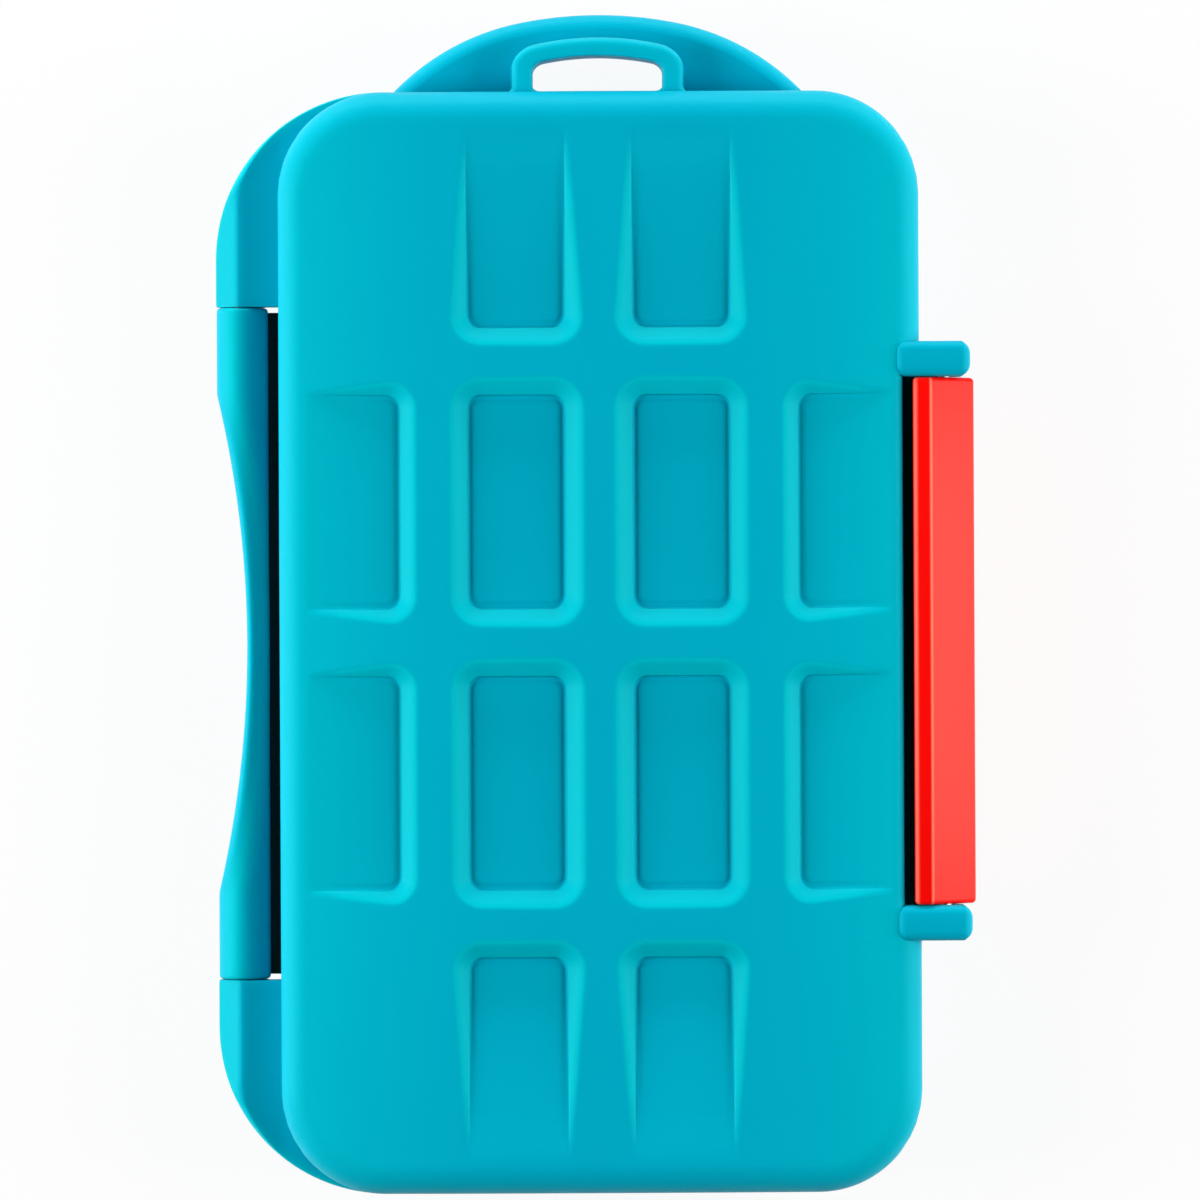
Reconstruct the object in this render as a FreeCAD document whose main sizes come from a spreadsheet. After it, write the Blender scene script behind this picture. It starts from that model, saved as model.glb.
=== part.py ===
# Memory card case: two moulded halves on a side hinge, held shut by a swinging latch.
# Each half, with its tray and seal, is drawn from the parting plane outward and then set in place.

import FreeCAD
import Part
import Sketcher
import math
import os

SIZES = {
    # outer form of a half
    "cover_corner": 9.8,
    "cover_edge_round": 2.7,
    "cover_crown": 0.6,
    "face_wall": 2.4,
    "side_wall": 3.4,
    "parting_gap": 0.1,
    # recessed windows of the large faces
    "window_width": 9.2,
    "window_length": 19.9,
    "window_pitch_across": 15.6,
    "window_pitch_along": 26.4,
    "window_depth": 1.2,
    "window_corner": 2.2,
    "window_wall_run": 1.65,
    "window_edge_round": 0.6,
    "window_end_round": 0.3,
    "window_side_margin": 2.8,
    "window_end_margin": 3.8,
    # hinge
    "hinge_reach": 3.68,
    "hinge_radius": 2.45,
    "barrel_end_gap": 0.36,
    "barrel_round_end": 7.9,
    "barrel_web_drop": 0.8,
    "waist_depth": 2.82,
    "hinge_pin_radius": 0.8,
    "hinge_pin_grip": 9.0,
    "hinge_pin_run": 6.6,
    "pin_clearance": 0.05,
    "pin_end_gap": 0.3,
    "pin_chamfer": 0.2,
    # ears beside the hinge, and the tab
    "ear_corner": 16.0,
    "ear_lip": 0.35,
    "ear_straight": 4.45,
    "ear_round": 1.6,
    "tab_crest_radius": 38.0,
    "tab_crest_half": 7.5,
    "tab_shoulder_radius": 23.0,
    "tab_reach": 7.67,
    "tab_round": 1.5,
    # cord loop
    "loop_width": 16.25,
    "loop_reach": 5.2,
    "loop_height": 6.2,
    "loop_arch": 27.0,
    "loop_corner": 2.1,
    "loop_edge_round": 0.6,
    "slot_width": 12.4,
    "slot_reach": 3.76,
    "slot_corner": 1.0,
    # lugs and latch
    "lug_thickness": 3.17,
    "lug_reach": 4.75,
    "lug_height": 8.8,
    "lug_corner": 1.0,
    "latch_length": 49.9,
    "latch_end_gap": 0.25,
    "latch_pivot_reach": 2.2,
    "latch_pivot_height": 6.2,
    "latch_heel": 2.88,
    "latch_front": 2.5,
    "latch_ridge": 1.2,
    "latch_outer": 3.0,
    "latch_facet_drop": 3.5,
    "latch_heel_drop": 1.2,
    "latch_leg": 2.4,
    "latch_hook_depth": 2.0,
    "latch_edge_round": 0.4,
    "latch_pin_radius": 0.75,
    "latch_pin_run": 6.0,
    "latch_pin_inset": 0.2,
    "recess_depth": 1.85,
    "recess_floor": 2.7,
    "catch_length": 40.0,
    "catch_reach": 1.6,
    "catch_drop": 3.5,
    "catch_land": 0.9,
    "catch_gap": 0.06,
    "hook_gap": 0.3,
    # seal
    "groove_width": 1.5,
    "groove_depth": 2.2,
    "tongue_width": 0.9,
    "tongue_depth": 0.8,
    "seal_side_gap": 0.05,
    "seal_top_gap": 0.05,
    "seal_round": 0.4,
    # card trays
    "tray_gap": 0.15,
    "tray_sink": 1.7,
    "tray_edge_round": 0.3,
    "card_width": 24.0,
    "card_length": 32.0,
    "card_thickness": 2.1,
    "small_card_width": 11.0,
    "small_card_length": 15.0,
    "small_card_thickness": 1.0,
    "card_gap": 0.2,
    "card_sink": 0.4,
    "small_card_sink": 0.2,
    "pocket_corner": 0.8,
    "tray_floor": 2.8,
    "tray_middle_rib": 1.9,
    "tray_side_margin": 1.5,
    "tray_small_margin": 1.35,
    "tray_end_margin": 3.0,
    "tray_foot_margin": 5.55,
    "tray_row_gap": 4.3,
    "small_pocket_rib": 1.8,
    "scoop_width": 11.0,
    "scoop_reach": 3.2,
    "scoop_extra": 0.9,
    "small_scoop_width": 6.0,
    "small_scoop_reach": 2.8,
    "scoop_flat": 0.3,
}

TOLERANCE_SHARE = 1e-6

document = FreeCAD.newDocument("memory_card_case")
sheet = document.addObject("Spreadsheet::Sheet", "sizes")
for row, (name, value) in enumerate(SIZES.items(), 1):
    sheet.set("A%d" % row, name)
    sheet.set("B%d" % row, str(value))
    sheet.setAlias("B%d" % row, name)
document.recompute()


# A length that carries its number and the sheet expression it comes from.
class Size:
    def __init__(self, value, text):
        self.value = value
        self.text = text

    def __add__(self, other):
        other = size(other)
        return Size(self.value + other.value, "(%s + %s)" % (self.text, other.text))

    def __sub__(self, other):
        other = size(other)
        return Size(self.value - other.value, "(%s - %s)" % (self.text, other.text))

    def __mul__(self, other):
        other = size(other)
        return Size(self.value * other.value, "(%s * %s)" % (self.text, other.text))

    def __truediv__(self, other):
        other = size(other)
        return Size(self.value / other.value, "(%s / %s)" % (self.text, other.text))

    def __neg__(self):
        return Size(-self.value, "(0 - %s)" % self.text)

    def __rmul__(self, other):
        return size(other) * self

    def root(self):
        return Size(math.sqrt(self.value), "sqrt(%s)" % self.text)

    # angle in degrees whose tangent is this ratio
    def slope(self):
        return Size(math.degrees(math.atan(self.value)), "atan(%s)" % self.text)


def size(number):
    if isinstance(number, Size):
        return number
    return Size(float(number), "(%s)" % number)


def larger(first, second):
    return Size(max(first.value, second.value), "max(%s; %s)" % (first.text, second.text))


class Named:
    pass


given = Named()
for name, value in SIZES.items():
    setattr(given, name, Size(value, "sizes.%s" % name))


# A length worked out from others gets its own row in the sheet.
def worked_out(name, length):
    row = len(SIZES) + 1 + len(worked_names)
    worked_names.append(name)
    sheet.set("A%d" % row, name)
    sheet.set("B%d" % row, "=" + length.text.replace("sizes.", ""))
    sheet.setAlias("B%d" % row, name)
    document.recompute()
    return Size(length.value, "sizes.%s" % name)


worked_names = []
zero = size(0)
rim = given.parting_gap / 2
card_wide = given.card_width + given.card_gap * 2
card_tall = given.card_length + given.card_gap * 2
card_deep = given.card_thickness + given.card_sink
small_wide = given.small_card_width + given.card_gap * 2
small_tall = given.small_card_length + given.card_gap * 2
small_deep = given.small_card_thickness + given.small_card_sink
small_pitch = small_wide + given.small_pocket_rib

# the cards set the tray, and the tray sets the shell around it
card_half_row = card_wide + given.tray_middle_rib / 2 + given.tray_side_margin
small_half_row = (small_pitch * 3 + small_wide) / 2 + given.tray_small_margin
card_columns = card_tall * 2 + small_tall + given.tray_row_gap * 2
tray_half_width = worked_out("tray_half_width", larger(card_half_row, small_half_row))
tray_half_length = worked_out("tray_half_length", (card_columns + given.tray_end_margin
                                                   + given.tray_foot_margin) / 2)
half_width = worked_out("half_width", tray_half_width + given.tray_gap + given.side_wall)
half_length = worked_out("half_length", tray_half_length + given.tray_gap + given.side_wall)
cover_depth = worked_out("cover_depth", given.tray_sink + card_deep + given.tray_floor + given.face_wall)
axis_reach = worked_out("axis_reach", half_width + given.hinge_reach)
pivot_reach = worked_out("pivot_reach", half_width + given.latch_pivot_reach)

# the ear is a corner arc with a straight run below it, and the barrel fills what is left between ears
ear_corner_y = worked_out("ear_corner_y", half_length + given.ear_lip - given.ear_corner)
ear_start = worked_out("ear_start", ear_corner_y - given.ear_straight)
half_barrel = worked_out("half_barrel", ear_start - given.barrel_end_gap)
near = half_length.value * TOLERANCE_SHARE


def bind(thing, path, length):
    thing.setExpression(path, length.text)


# Sketch on one of the body's own planes, moved to a point given in the body's frame.
def sketch_on(body, name, role, x=zero, y=zero, z=zero, tilt=None):
    sketch = body.newObject("Sketcher::SketchObject", name)
    plane = next(feature for feature in body.Origin.OriginFeatures if feature.Role == role)
    sketch.AttachmentSupport = [(plane, "")]
    sketch.MapMode = "FlatFace"
    if tilt:
        axis, angle = tilt
        sketch.AttachmentOffset = FreeCAD.Placement(FreeCAD.Vector(), FreeCAD.Rotation(axis, angle.value))
        bind(sketch, "AttachmentOffset.Rotation.Angle", angle)
    moves = {"XY_Plane": (x, y, z), "XZ_Plane": (x, z, -y)}[role]
    for letter, move in zip("xyz", moves):
        bind(sketch, "AttachmentOffset.Base.%s" % letter, move)
    return sketch


# Holds one point of a sketch at a distance from the sketch's origin along both axes.
def pin(sketch, number, end, x, y):
    for kind, along, axis in (("DistanceX", x, -2), ("DistanceY", y, -1)):
        if abs(along.value) < near:
            sketch.addConstraint(Sketcher.Constraint("PointOnObject", number, end, axis))
            continue
        if along.value > 0:
            rule = Sketcher.Constraint(kind, -1, 1, number, end, along.value)
        else:
            along = -along
            rule = Sketcher.Constraint(kind, number, end, -1, 1, along.value)
        place = sketch.addConstraint(rule)
        bind(sketch, "Constraints[%d]" % place, along)


# Closed outline through points (x, y, bend). A bend makes the step to the next point an arc:
# (radius, 1) turns left and (radius, -1) turns right.
def draw(sketch, points):
    steps = []
    for index, (x, y, bend) in enumerate(points):
        next_x, next_y, unused = points[(index + 1) % len(points)]
        start = FreeCAD.Vector(x.value, y.value, 0)
        end = FreeCAD.Vector(next_x.value, next_y.value, 0)
        if bend is None:
            number = sketch.addGeometry(Part.LineSegment(start, end), False)
            steps.append((number, 1, 2))
            continue
        radius, turn = bend
        chord = end - start
        rise = math.sqrt(max(radius.value ** 2 - chord.Length ** 2 / 4, 0))
        across = FreeCAD.Vector(-chord.y, chord.x, 0).normalize()
        centre = (start + end) / 2 + across * (turn * rise)
        first, last = (start, end) if turn > 0 else (end, start)
        angles = [math.atan2(spot.y - centre.y, spot.x - centre.x) for spot in (first, last)]
        circle = Part.Circle(centre, FreeCAD.Vector(0, 0, 1), radius.value)
        number = sketch.addGeometry(Part.ArcOfCircle(circle, angles[0], angles[1]), False)
        steps.append((number, 1, 2) if turn > 0 else (number, 2, 1))
        place = sketch.addConstraint(Sketcher.Constraint("Radius", number, radius.value))
        bind(sketch, "Constraints[%d]" % place, radius)
    for index, (number, begin, finish) in enumerate(steps):
        follower, follower_begin, unused = steps[(index + 1) % len(steps)]
        sketch.addConstraint(Sketcher.Constraint("Coincident", number, finish, follower, follower_begin))
        pin(sketch, number, begin, points[index][0], points[index][1])


def draw_rectangle(sketch, left, right, bottom, top):
    draw(sketch, [(left, bottom, None), (right, bottom, None), (right, top, None), (left, top, None)])


def draw_rounded(sketch, left, right, bottom, top, radius):
    bend = (radius, 1)
    draw(sketch, [
        (left + radius, bottom, None), (right - radius, bottom, bend),
        (right, bottom + radius, None), (right, top - radius, bend),
        (right - radius, top, None), (left + radius, top, bend),
        (left, top - radius, None), (left, bottom + radius, bend),
    ])


def draw_circle(sketch, x, y, radius):
    centre = FreeCAD.Vector(x.value, y.value, 0)
    number = sketch.addGeometry(Part.Circle(centre, FreeCAD.Vector(0, 0, 1), radius.value), False)
    pin(sketch, number, 3, x, y)
    place = sketch.addConstraint(Sketcher.Constraint("Radius", number, radius.value))
    bind(sketch, "Constraints[%d]" % place, radius)


# Adds (Pad) or removes (Pocket) along the sketch's normal. No length means right through.
def extrude(body, kind, name, sketch, length=None, reverse=False, both_ways=False, slope=None):
    feature = body.newObject("PartDesign::" + kind, name)
    feature.Profile = sketch
    feature.Reversed = reverse
    if both_ways:
        feature.SideType = "Symmetric"
    if length is None:
        feature.Type = "ThroughAll"
    else:
        bind(feature, "Length", length)
    if slope:
        bind(feature, "TaperAngle", slope)
    return feature


# Full turn of a sketch around its own upright axis.
def revolve(body, name, sketch):
    feature = body.newObject("PartDesign::Revolution", name)
    feature.Profile = sketch
    feature.ReferenceAxis = (sketch, ["V_Axis"])
    feature.Angle = 360
    return feature


# Rounds every edge of the body so far that passes the test.
def round_edges(body, name, radius, test):
    document.recompute()
    base = body.Tip
    names = ["Edge%d" % number for number, edge in enumerate(base.Shape.Edges, 1) if test(edge)]
    feature = body.newObject("PartDesign::Fillet", name)
    feature.Base = (base, names)
    bind(feature, "Radius", radius)
    return feature


def level(edge, height):
    box = edge.BoundBox
    return abs(box.ZMin - height.value) < near and abs(box.ZMax - height.value) < near


def new_body(label):
    body = document.addObject("PartDesign::Body", label)
    body.Label = label
    return body


# A half opens outward from the parting plane. The front half is upright, the rear one is turned over.
def set_half(body, front):
    turn = 0 if front else 180
    body.Placement = FreeCAD.Placement(FreeCAD.Vector(), FreeCAD.Rotation(FreeCAD.Vector(0, 1, 0), turn))
    bind(body, "Placement.Base.z", cover_depth)


# Shell block with a rounded outer edge; the front one is gently crowned across its width.
def cover_block(body, crowned):
    sketch = sketch_on(body, "block_outline", "XY_Plane", z=rim)
    draw_rounded(sketch, -half_width, half_width, -half_length, half_length, given.cover_corner)
    extrude(body, "Pad", "block", sketch, cover_depth - rim)
    if crowned:
        radius = (half_width * half_width + given.cover_crown * given.cover_crown) / (given.cover_crown * 2)
        low = cover_depth - given.cover_crown
        high = cover_depth + given.cover_crown
        sketch = sketch_on(body, "crown_section", "XZ_Plane")
        draw(sketch, [
            (half_width, low, (radius, 1)), (-half_width, low, None),
            (-half_width, high, None), (half_width, high, None),
        ])
        extrude(body, "Pocket", "crown", sketch, both_ways=True)
    bottom = (cover_depth - given.cover_edge_round).value
    round_edges(body, "edge_round", given.cover_edge_round, lambda edge: edge.BoundBox.ZMin > bottom)


# Height of the outer face above the parting plane, at a distance from the middle line.
def face_height(across, crowned):
    if not crowned:
        return cover_depth
    return cover_depth - given.cover_crown * (across * across) / (half_width * half_width)


# Twelve windows: four in the middle, and eight whose floors rise to run out at the edges.
def cut_windows(body, crowned):
    half_across = given.window_width / 2
    half_along = given.window_length / 2
    column = given.window_pitch_across / 2
    line = given.window_pitch_along / 2
    floor = cover_depth - given.window_depth
    height = given.window_depth * 2
    wall_slope = (given.window_wall_run / given.window_depth).slope()
    sketch = sketch_on(body, "middle_windows", "XY_Plane", z=floor)
    for x in (-column, column):
        for y in (-line, line):
            draw_rounded(sketch, x - half_across, x + half_across, y - half_along, y + half_along,
                         given.window_corner)
    extrude(body, "Pocket", "middle_window_cut", sketch, height, reverse=True,
            slope=wall_slope)
    inner = given.window_pitch_along * 1.5 - half_along
    run = half_length - given.window_end_margin - inner
    climb = face_height(column, crowned) - floor
    for side, word in ((1, "upper"), (-1, "lower")):
        tilt = (FreeCAD.Vector(side, 0, 0), (climb / run).slope())
        sketch = sketch_on(body, word + "_windows", "XY_Plane", y=inner * side, z=floor, tilt=tilt)
        ends = [zero, (run + given.window_corner * 2) * side]
        low, high = sorted(ends, key=lambda end: end.value)
        for x in (-column, column):
            draw_rounded(sketch, x - half_across, x + half_across, low, high, given.window_corner)
        extrude(body, "Pocket", word + "_window_cut", sketch, height, reverse=True,
                slope=wall_slope)
    inner = given.window_pitch_across * 1.5 - half_across
    end = half_width - given.window_side_margin
    run = end - inner
    floor = face_height(inner, crowned) - given.window_depth
    climb = face_height(end, crowned) - floor
    for side, word in ((1, "right"), (-1, "left")):
        tilt = (FreeCAD.Vector(0, -side, 0), (climb / run).slope())
        sketch = sketch_on(body, word + "_windows", "XY_Plane", x=inner * side, z=floor, tilt=tilt)
        ends = [zero, (run + given.window_corner * 2) * side]
        low, high = sorted(ends, key=lambda end: end.value)
        for y in (-line, line):
            draw_rounded(sketch, low, high, y - half_along, y + half_along, given.window_corner)
        extrude(body, "Pocket", word + "_window_cut", sketch, height, reverse=True,
                slope=wall_slope)


# Half section of a round plate with a rounded upper rim.
def draw_plate(sketch, radius, round_size):
    draw(sketch, [
        (zero, rim, None), (radius, rim, None),
        (radius, given.hinge_radius - round_size, (round_size, 1)),
        (radius - round_size, given.hinge_radius, None), (zero, given.hinge_radius, None),
    ])


# Flat tab beyond the end wall: a long arc between two tighter ones, rounded along its outer rim.
# It is made before the block, so that its rim is rounded while it stands alone.
def add_tab(body):
    crest = given.tab_crest_radius
    shoulder = given.tab_shoulder_radius
    join = given.tab_crest_half
    crest_y = half_length + given.tab_reach - crest
    rise = (crest * crest - join * join).root()
    share = (crest - shoulder) / crest
    shoulder_x = join * share
    shoulder_y = crest_y + rise * share
    foot = half_length - given.side_wall / 2
    foot_x = shoulder_x + (shoulder * shoulder - (foot - shoulder_y) * (foot - shoulder_y)).root()
    sketch = sketch_on(body, "tab_outline", "XY_Plane", z=rim)
    draw(sketch, [
        (-foot_x, foot, None), (foot_x, foot, (shoulder, 1)),
        (join, crest_y + rise, (crest, 1)), (-join, crest_y + rise, (shoulder, 1)),
    ])
    extrude(body, "Pad", "tab", sketch, given.hinge_radius - rim)

    def on_rim(edge):
        return level(edge, given.hinge_radius) and edge.BoundBox.YMax > half_length.value
    round_edges(body, "tab_rim_round", given.tab_round, on_rim)


# Long opening through the tab for a cord, arched like the loop around it.
def cut_slot(body):
    sketch = sketch_on(body, "slot_outline", "XY_Plane")
    arch_outline(sketch, given.slot_width, half_length, half_length + given.slot_reach,
                 given.loop_arch - given.loop_reach + given.slot_reach, given.slot_corner)
    extrude(body, "Pocket", "slot", sketch, both_ways=True)


# Upright sides, square foot and an arched top with rounded shoulders.
def arch_outline(sketch, width, foot, crest, arch, corner):
    half = width / 2
    centre = crest - arch
    inset = half - corner
    reach = arch - corner
    shoulder = centre + (reach * reach - inset * inset).root()
    share = arch / reach
    draw(sketch, [
        (-half, foot, None), (half, foot, None),
        (half, shoulder, (corner, 1)),
        (inset * share, centre + (shoulder - centre) * share, (arch, 1)),
        (-inset * share, centre + (shoulder - centre) * share, (corner, 1)),
        (-half, shoulder, None),
    ])


# Raised rim around the slot, standing on the tab against the end wall.
def add_loop(body):
    sketch = sketch_on(body, "loop_outline", "XY_Plane", z=rim)
    arch_outline(sketch, given.loop_width, half_length - given.side_wall, half_length + given.loop_reach,
                 given.loop_arch, given.loop_corner)
    extrude(body, "Pad", "loop", sketch, given.loop_height - rim)


def round_loop(body):
    def on_loop(edge):
        return level(edge, given.loop_height) and edge.BoundBox.YMax > half_length.value + near
    round_edges(body, "loop_edge_round", given.loop_edge_round, on_loop)


# Ears on the hinge side: rounded corner plates with round knuckles under them, bored for the pins.
def add_ears(body):
    corner_x = -(axis_reach + given.hinge_radius - given.ear_corner)
    outer = -(axis_reach + given.hinge_radius)
    wall = -(half_width - given.side_wall / 2)
    drop = (given.hinge_radius * given.hinge_radius - rim * rim).root()
    for side, word in ((1, "upper"), (-1, "lower")):
        sketch = sketch_on(body, word + "_ear_corner_section", "XZ_Plane", x=corner_x, y=ear_corner_y * side)
        draw_plate(sketch, given.ear_corner, given.ear_round)
        revolve(body, word + "_ear_corner", sketch)
        sketch = sketch_on(body, word + "_ear_section", "XZ_Plane", y=ear_start * side)
        draw(sketch, [
            (wall, rim, None), (wall, given.hinge_radius, None),
            (outer + given.ear_round, given.hinge_radius, (given.ear_round, 1)),
            (outer, given.hinge_radius - given.ear_round, None),
            (outer, rim, None),
        ])
        extrude(body, "Pad", word + "_ear", sketch, ear_corner_y - ear_start, reverse=side > 0)
        sketch = sketch_on(body, word + "_knuckle_section", "XZ_Plane", y=ear_start * side)
        draw(sketch, [
            (-axis_reach - drop, rim, (given.hinge_radius, 1)),
            (-axis_reach, -given.hinge_radius, (given.hinge_radius, 1)),
            (-axis_reach + drop, rim, None),
        ])
        extrude(body, "Pad", word + "_knuckle", sketch, half_length + given.ear_lip - ear_start,
                reverse=side > 0)
        sketch = sketch_on(body, word + "_knuckle_trim", "XY_Plane", z=rim)
        end_y = (half_length + given.ear_lip) * side
        draw(sketch, [
            (corner_x, end_y, (given.ear_corner, side)), (outer, ear_corner_y * side, None),
            (outer - given.hinge_radius, ear_corner_y * side, None),
            (outer - given.hinge_radius, end_y + given.hinge_radius * side, None),
            (corner_x, end_y + given.hinge_radius * side, None),
        ])
        extrude(body, "Pocket", word + "_knuckle_cut", sketch, given.hinge_radius * 2)
    sketch = sketch_on(body, "barrel_space_outline", "XY_Plane", z=rim)
    draw_rectangle(sketch, outer - given.hinge_radius, -half_width, -ear_start, ear_start)
    extrude(body, "Pocket", "barrel_space", sketch, given.hinge_radius, reverse=True)
    sketch = sketch_on(body, "hinge_bore_outline", "XZ_Plane")
    draw_circle(sketch, -axis_reach, zero, given.hinge_pin_radius)
    extrude(body, "Pocket", "hinge_bores", sketch, both_ways=True)


# Two lugs on the latch side, the recess between them where the latch heel swings, and their bores.
def add_lugs(body):
    inner = given.latch_length / 2 + given.latch_end_gap
    outer = inner + given.lug_thickness
    reach = half_width + given.lug_reach
    sketch = sketch_on(body, "recess_outline", "XY_Plane", z=given.recess_floor)
    draw_rectangle(sketch, half_width - given.recess_depth, reach, -inner, inner)
    extrude(body, "Pocket", "latch_recess", sketch, cover_depth, reverse=True)
    for side, word in ((1, "upper"), (-1, "lower")):
        sketch = sketch_on(body, word + "_lug_outline", "XY_Plane", z=given.lug_height)
        low, high = sorted((inner * side, outer * side), key=lambda end: end.value)
        draw_rounded(sketch, half_width - given.recess_depth - given.lug_corner / 2, reach, low, high,
                     given.lug_corner)
        extrude(body, "Pad", word + "_lug", sketch, given.lug_height - rim, reverse=True)
    sketch = sketch_on(body, "lug_foot_section", "XZ_Plane")
    draw(sketch, [
        (half_width, zero, None), (reach + given.lug_corner, zero, None),
        (reach + given.lug_corner, given.lug_reach + given.lug_corner, None),
    ])
    extrude(body, "Pocket", "lug_foot_cut", sketch, both_ways=True)
    sketch = sketch_on(body, "latch_bore_outline", "XZ_Plane")
    draw_circle(sketch, pivot_reach, given.latch_pivot_height, given.latch_pin_radius)
    extrude(body, "Pocket", "latch_bores", sketch, given.latch_length + given.lug_thickness * 4,
            both_ways=True)


def cut_cavity(body):
    across = half_width - given.side_wall
    along = half_length - given.side_wall
    sketch = sketch_on(body, "cavity_outline", "XY_Plane")
    draw_rounded(sketch, -across, across, -along, along, given.cover_corner - given.side_wall)
    extrude(body, "Pocket", "cavity", sketch, cover_depth - given.face_wall, reverse=True)


# Two outlines that run round the middle of the rim, a given width apart.
def draw_ring(sketch, width):
    for part in (-1, 1):
        shift = given.side_wall / 2 - width / 2 * part
        across = half_width - shift
        along = half_length - shift
        draw_rounded(sketch, -across, across, -along, along, given.cover_corner - shift)


def add_tongue(body):
    sketch = sketch_on(body, "tongue_outline", "XY_Plane", z=rim)
    draw_ring(sketch, given.tongue_width)
    extrude(body, "Pad", "tongue", sketch, given.tongue_depth, reverse=True)


def cut_groove(body):
    sketch = sketch_on(body, "groove_outline", "XY_Plane", z=rim)
    draw_ring(sketch, given.groove_width)
    extrude(body, "Pocket", "groove", sketch, given.groove_depth, reverse=True)


# Barrel on a low web, cut to a waist along its middle and bored at both ends.
def add_barrel(body):
    sketch = sketch_on(body, "web_section", "XZ_Plane")
    draw_rectangle(sketch, half_width - given.side_wall / 2, axis_reach, given.barrel_web_drop,
                   given.hinge_radius)
    extrude(body, "Pad", "web", sketch, half_barrel * 2, both_ways=True)
    sketch = sketch_on(body, "barrel_section", "XZ_Plane")
    draw_circle(sketch, axis_reach, zero, given.hinge_radius)
    extrude(body, "Pad", "barrel", sketch, half_barrel * 2, both_ways=True)
    edge = axis_reach + given.hinge_radius
    half_waist = half_barrel - given.barrel_round_end
    bend = (half_waist * half_waist + given.waist_depth * given.waist_depth) / (given.waist_depth * 2)
    sketch = sketch_on(body, "waist_outline", "XY_Plane")
    draw(sketch, [
        (edge, half_waist, (bend, 1)), (edge, -half_waist, None),
        (edge + given.hinge_radius, -half_waist, None), (edge + given.hinge_radius, half_waist, None),
    ])
    extrude(body, "Pocket", "waist", sketch, both_ways=True)
    for side, word in ((1, "upper"), (-1, "lower")):
        sketch = sketch_on(body, word + "_barrel_bore_outline", "XZ_Plane", y=half_barrel * side)
        draw_circle(sketch, axis_reach, zero, given.hinge_pin_radius + given.pin_clearance)
        extrude(body, "Pocket", word + "_barrel_bore", sketch, given.hinge_pin_run + given.pin_end_gap,
                reverse=side > 0)


# Rib on the latch side that the hook snaps past.
def add_catch(body):
    crest = -(half_width + given.catch_reach)
    sketch = sketch_on(body, "catch_section", "XZ_Plane")
    draw(sketch, [
        (-half_width + given.catch_reach, given.catch_drop, None), (crest, given.catch_drop, None),
        (crest, given.catch_drop - given.catch_land, None),
        (-half_width, given.catch_drop - given.catch_land - given.catch_reach, None),
        (-half_width + given.catch_reach, given.catch_drop - given.catch_land - given.catch_reach, None),
    ])
    extrude(body, "Pad", "catch", sketch, given.catch_length, both_ways=True)


# Edges of the windows on the outer face: the four in the middle, or the eight that run out.
def window_edges(body, middle):
    document.recompute()
    high = (cover_depth - given.window_depth).value
    faces = [face for face in body.Tip.Shape.Faces if face.BoundBox.ZMax > high]
    outer = max(faces, key=lambda face: face.Area)
    chosen = []
    for wire in outer.Wires:
        centre = wire.BoundBox.Center
        inside = (abs(centre.x) < given.window_pitch_across.value
                  and abs(centre.y) < given.window_pitch_along.value)
        if inside == middle and not wire.isSame(outer.OuterWire):
            chosen += wire.Edges
    return chosen


def round_windows(body, middle, name, radius):
    chosen = window_edges(body, middle)
    round_edges(body, name, radius, lambda edge: any(edge.isSame(other) for other in chosen))


def make_front_cover():
    body = new_body("front_cover")
    add_tab(body)
    cover_block(body, True)
    cut_windows(body, True)
    round_windows(body, True, "window_round", given.window_edge_round)
    round_windows(body, False, "window_end_round", given.window_end_round)
    add_ears(body)
    add_loop(body)
    cut_slot(body)
    round_loop(body)
    add_lugs(body)
    cut_cavity(body)
    add_tongue(body)
    set_half(body, True)
    return body


def make_rear_cover():
    body = new_body("rear_cover")
    add_tab(body)
    cover_block(body, False)
    cut_windows(body, False)
    round_windows(body, True, "window_round", given.window_edge_round)
    cut_slot(body)
    add_barrel(body)
    add_catch(body)
    cut_cavity(body)
    cut_groove(body)
    set_half(body, False)
    return body


def make_seal():
    body = new_body("rim_seal")
    floor = rim + given.groove_depth
    top = rim * -1 + given.tongue_depth + given.seal_top_gap
    sketch = sketch_on(body, "seal_outline", "XY_Plane", z=floor)
    draw_ring(sketch, given.groove_width - given.seal_side_gap * 2)
    extrude(body, "Pad", "ring", sketch, floor - top, reverse=True)
    round_edges(body, "top_round", given.seal_round, lambda edge: level(edge, top))
    set_half(body, False)
    return body


# Straight pin with chamfered ends, along the Y axis from one end.
def make_pin(label, radius, length, x, y, z):
    body = new_body(label)
    sketch = sketch_on(body, "pin_section", "XY_Plane")
    chamfer = given.pin_chamfer
    draw(sketch, [
        (zero, zero, None), (radius - chamfer, zero, None), (radius, chamfer, None),
        (radius, length - chamfer, None), (radius - chamfer, length, None), (zero, length, None),
    ])
    revolve(body, "pin", sketch)
    bind(body, "Placement.Base.x", x)
    bind(body, "Placement.Base.y", y)
    bind(body, "Placement.Base.z", z)
    return body


def make_pins():
    pins = []
    length = given.hinge_pin_grip + given.barrel_end_gap + given.hinge_pin_run
    start = half_barrel - given.hinge_pin_run
    for y, word in ((start, "upper"), (-start - length, "lower")):
        pins.append(make_pin(word + "_hinge_pin", given.hinge_pin_radius, length, -axis_reach, y,
                             cover_depth))
    length = given.lug_thickness + given.latch_end_gap + given.latch_pin_run - given.latch_pin_inset
    start = given.latch_length / 2 - given.latch_pin_run
    for y, word in ((start, "upper"), (-start - length, "lower")):
        pins.append(make_pin(word + "_latch_pin", given.latch_pin_radius, length, pivot_reach, y,
                             cover_depth + given.latch_pivot_height))
    return pins


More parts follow.
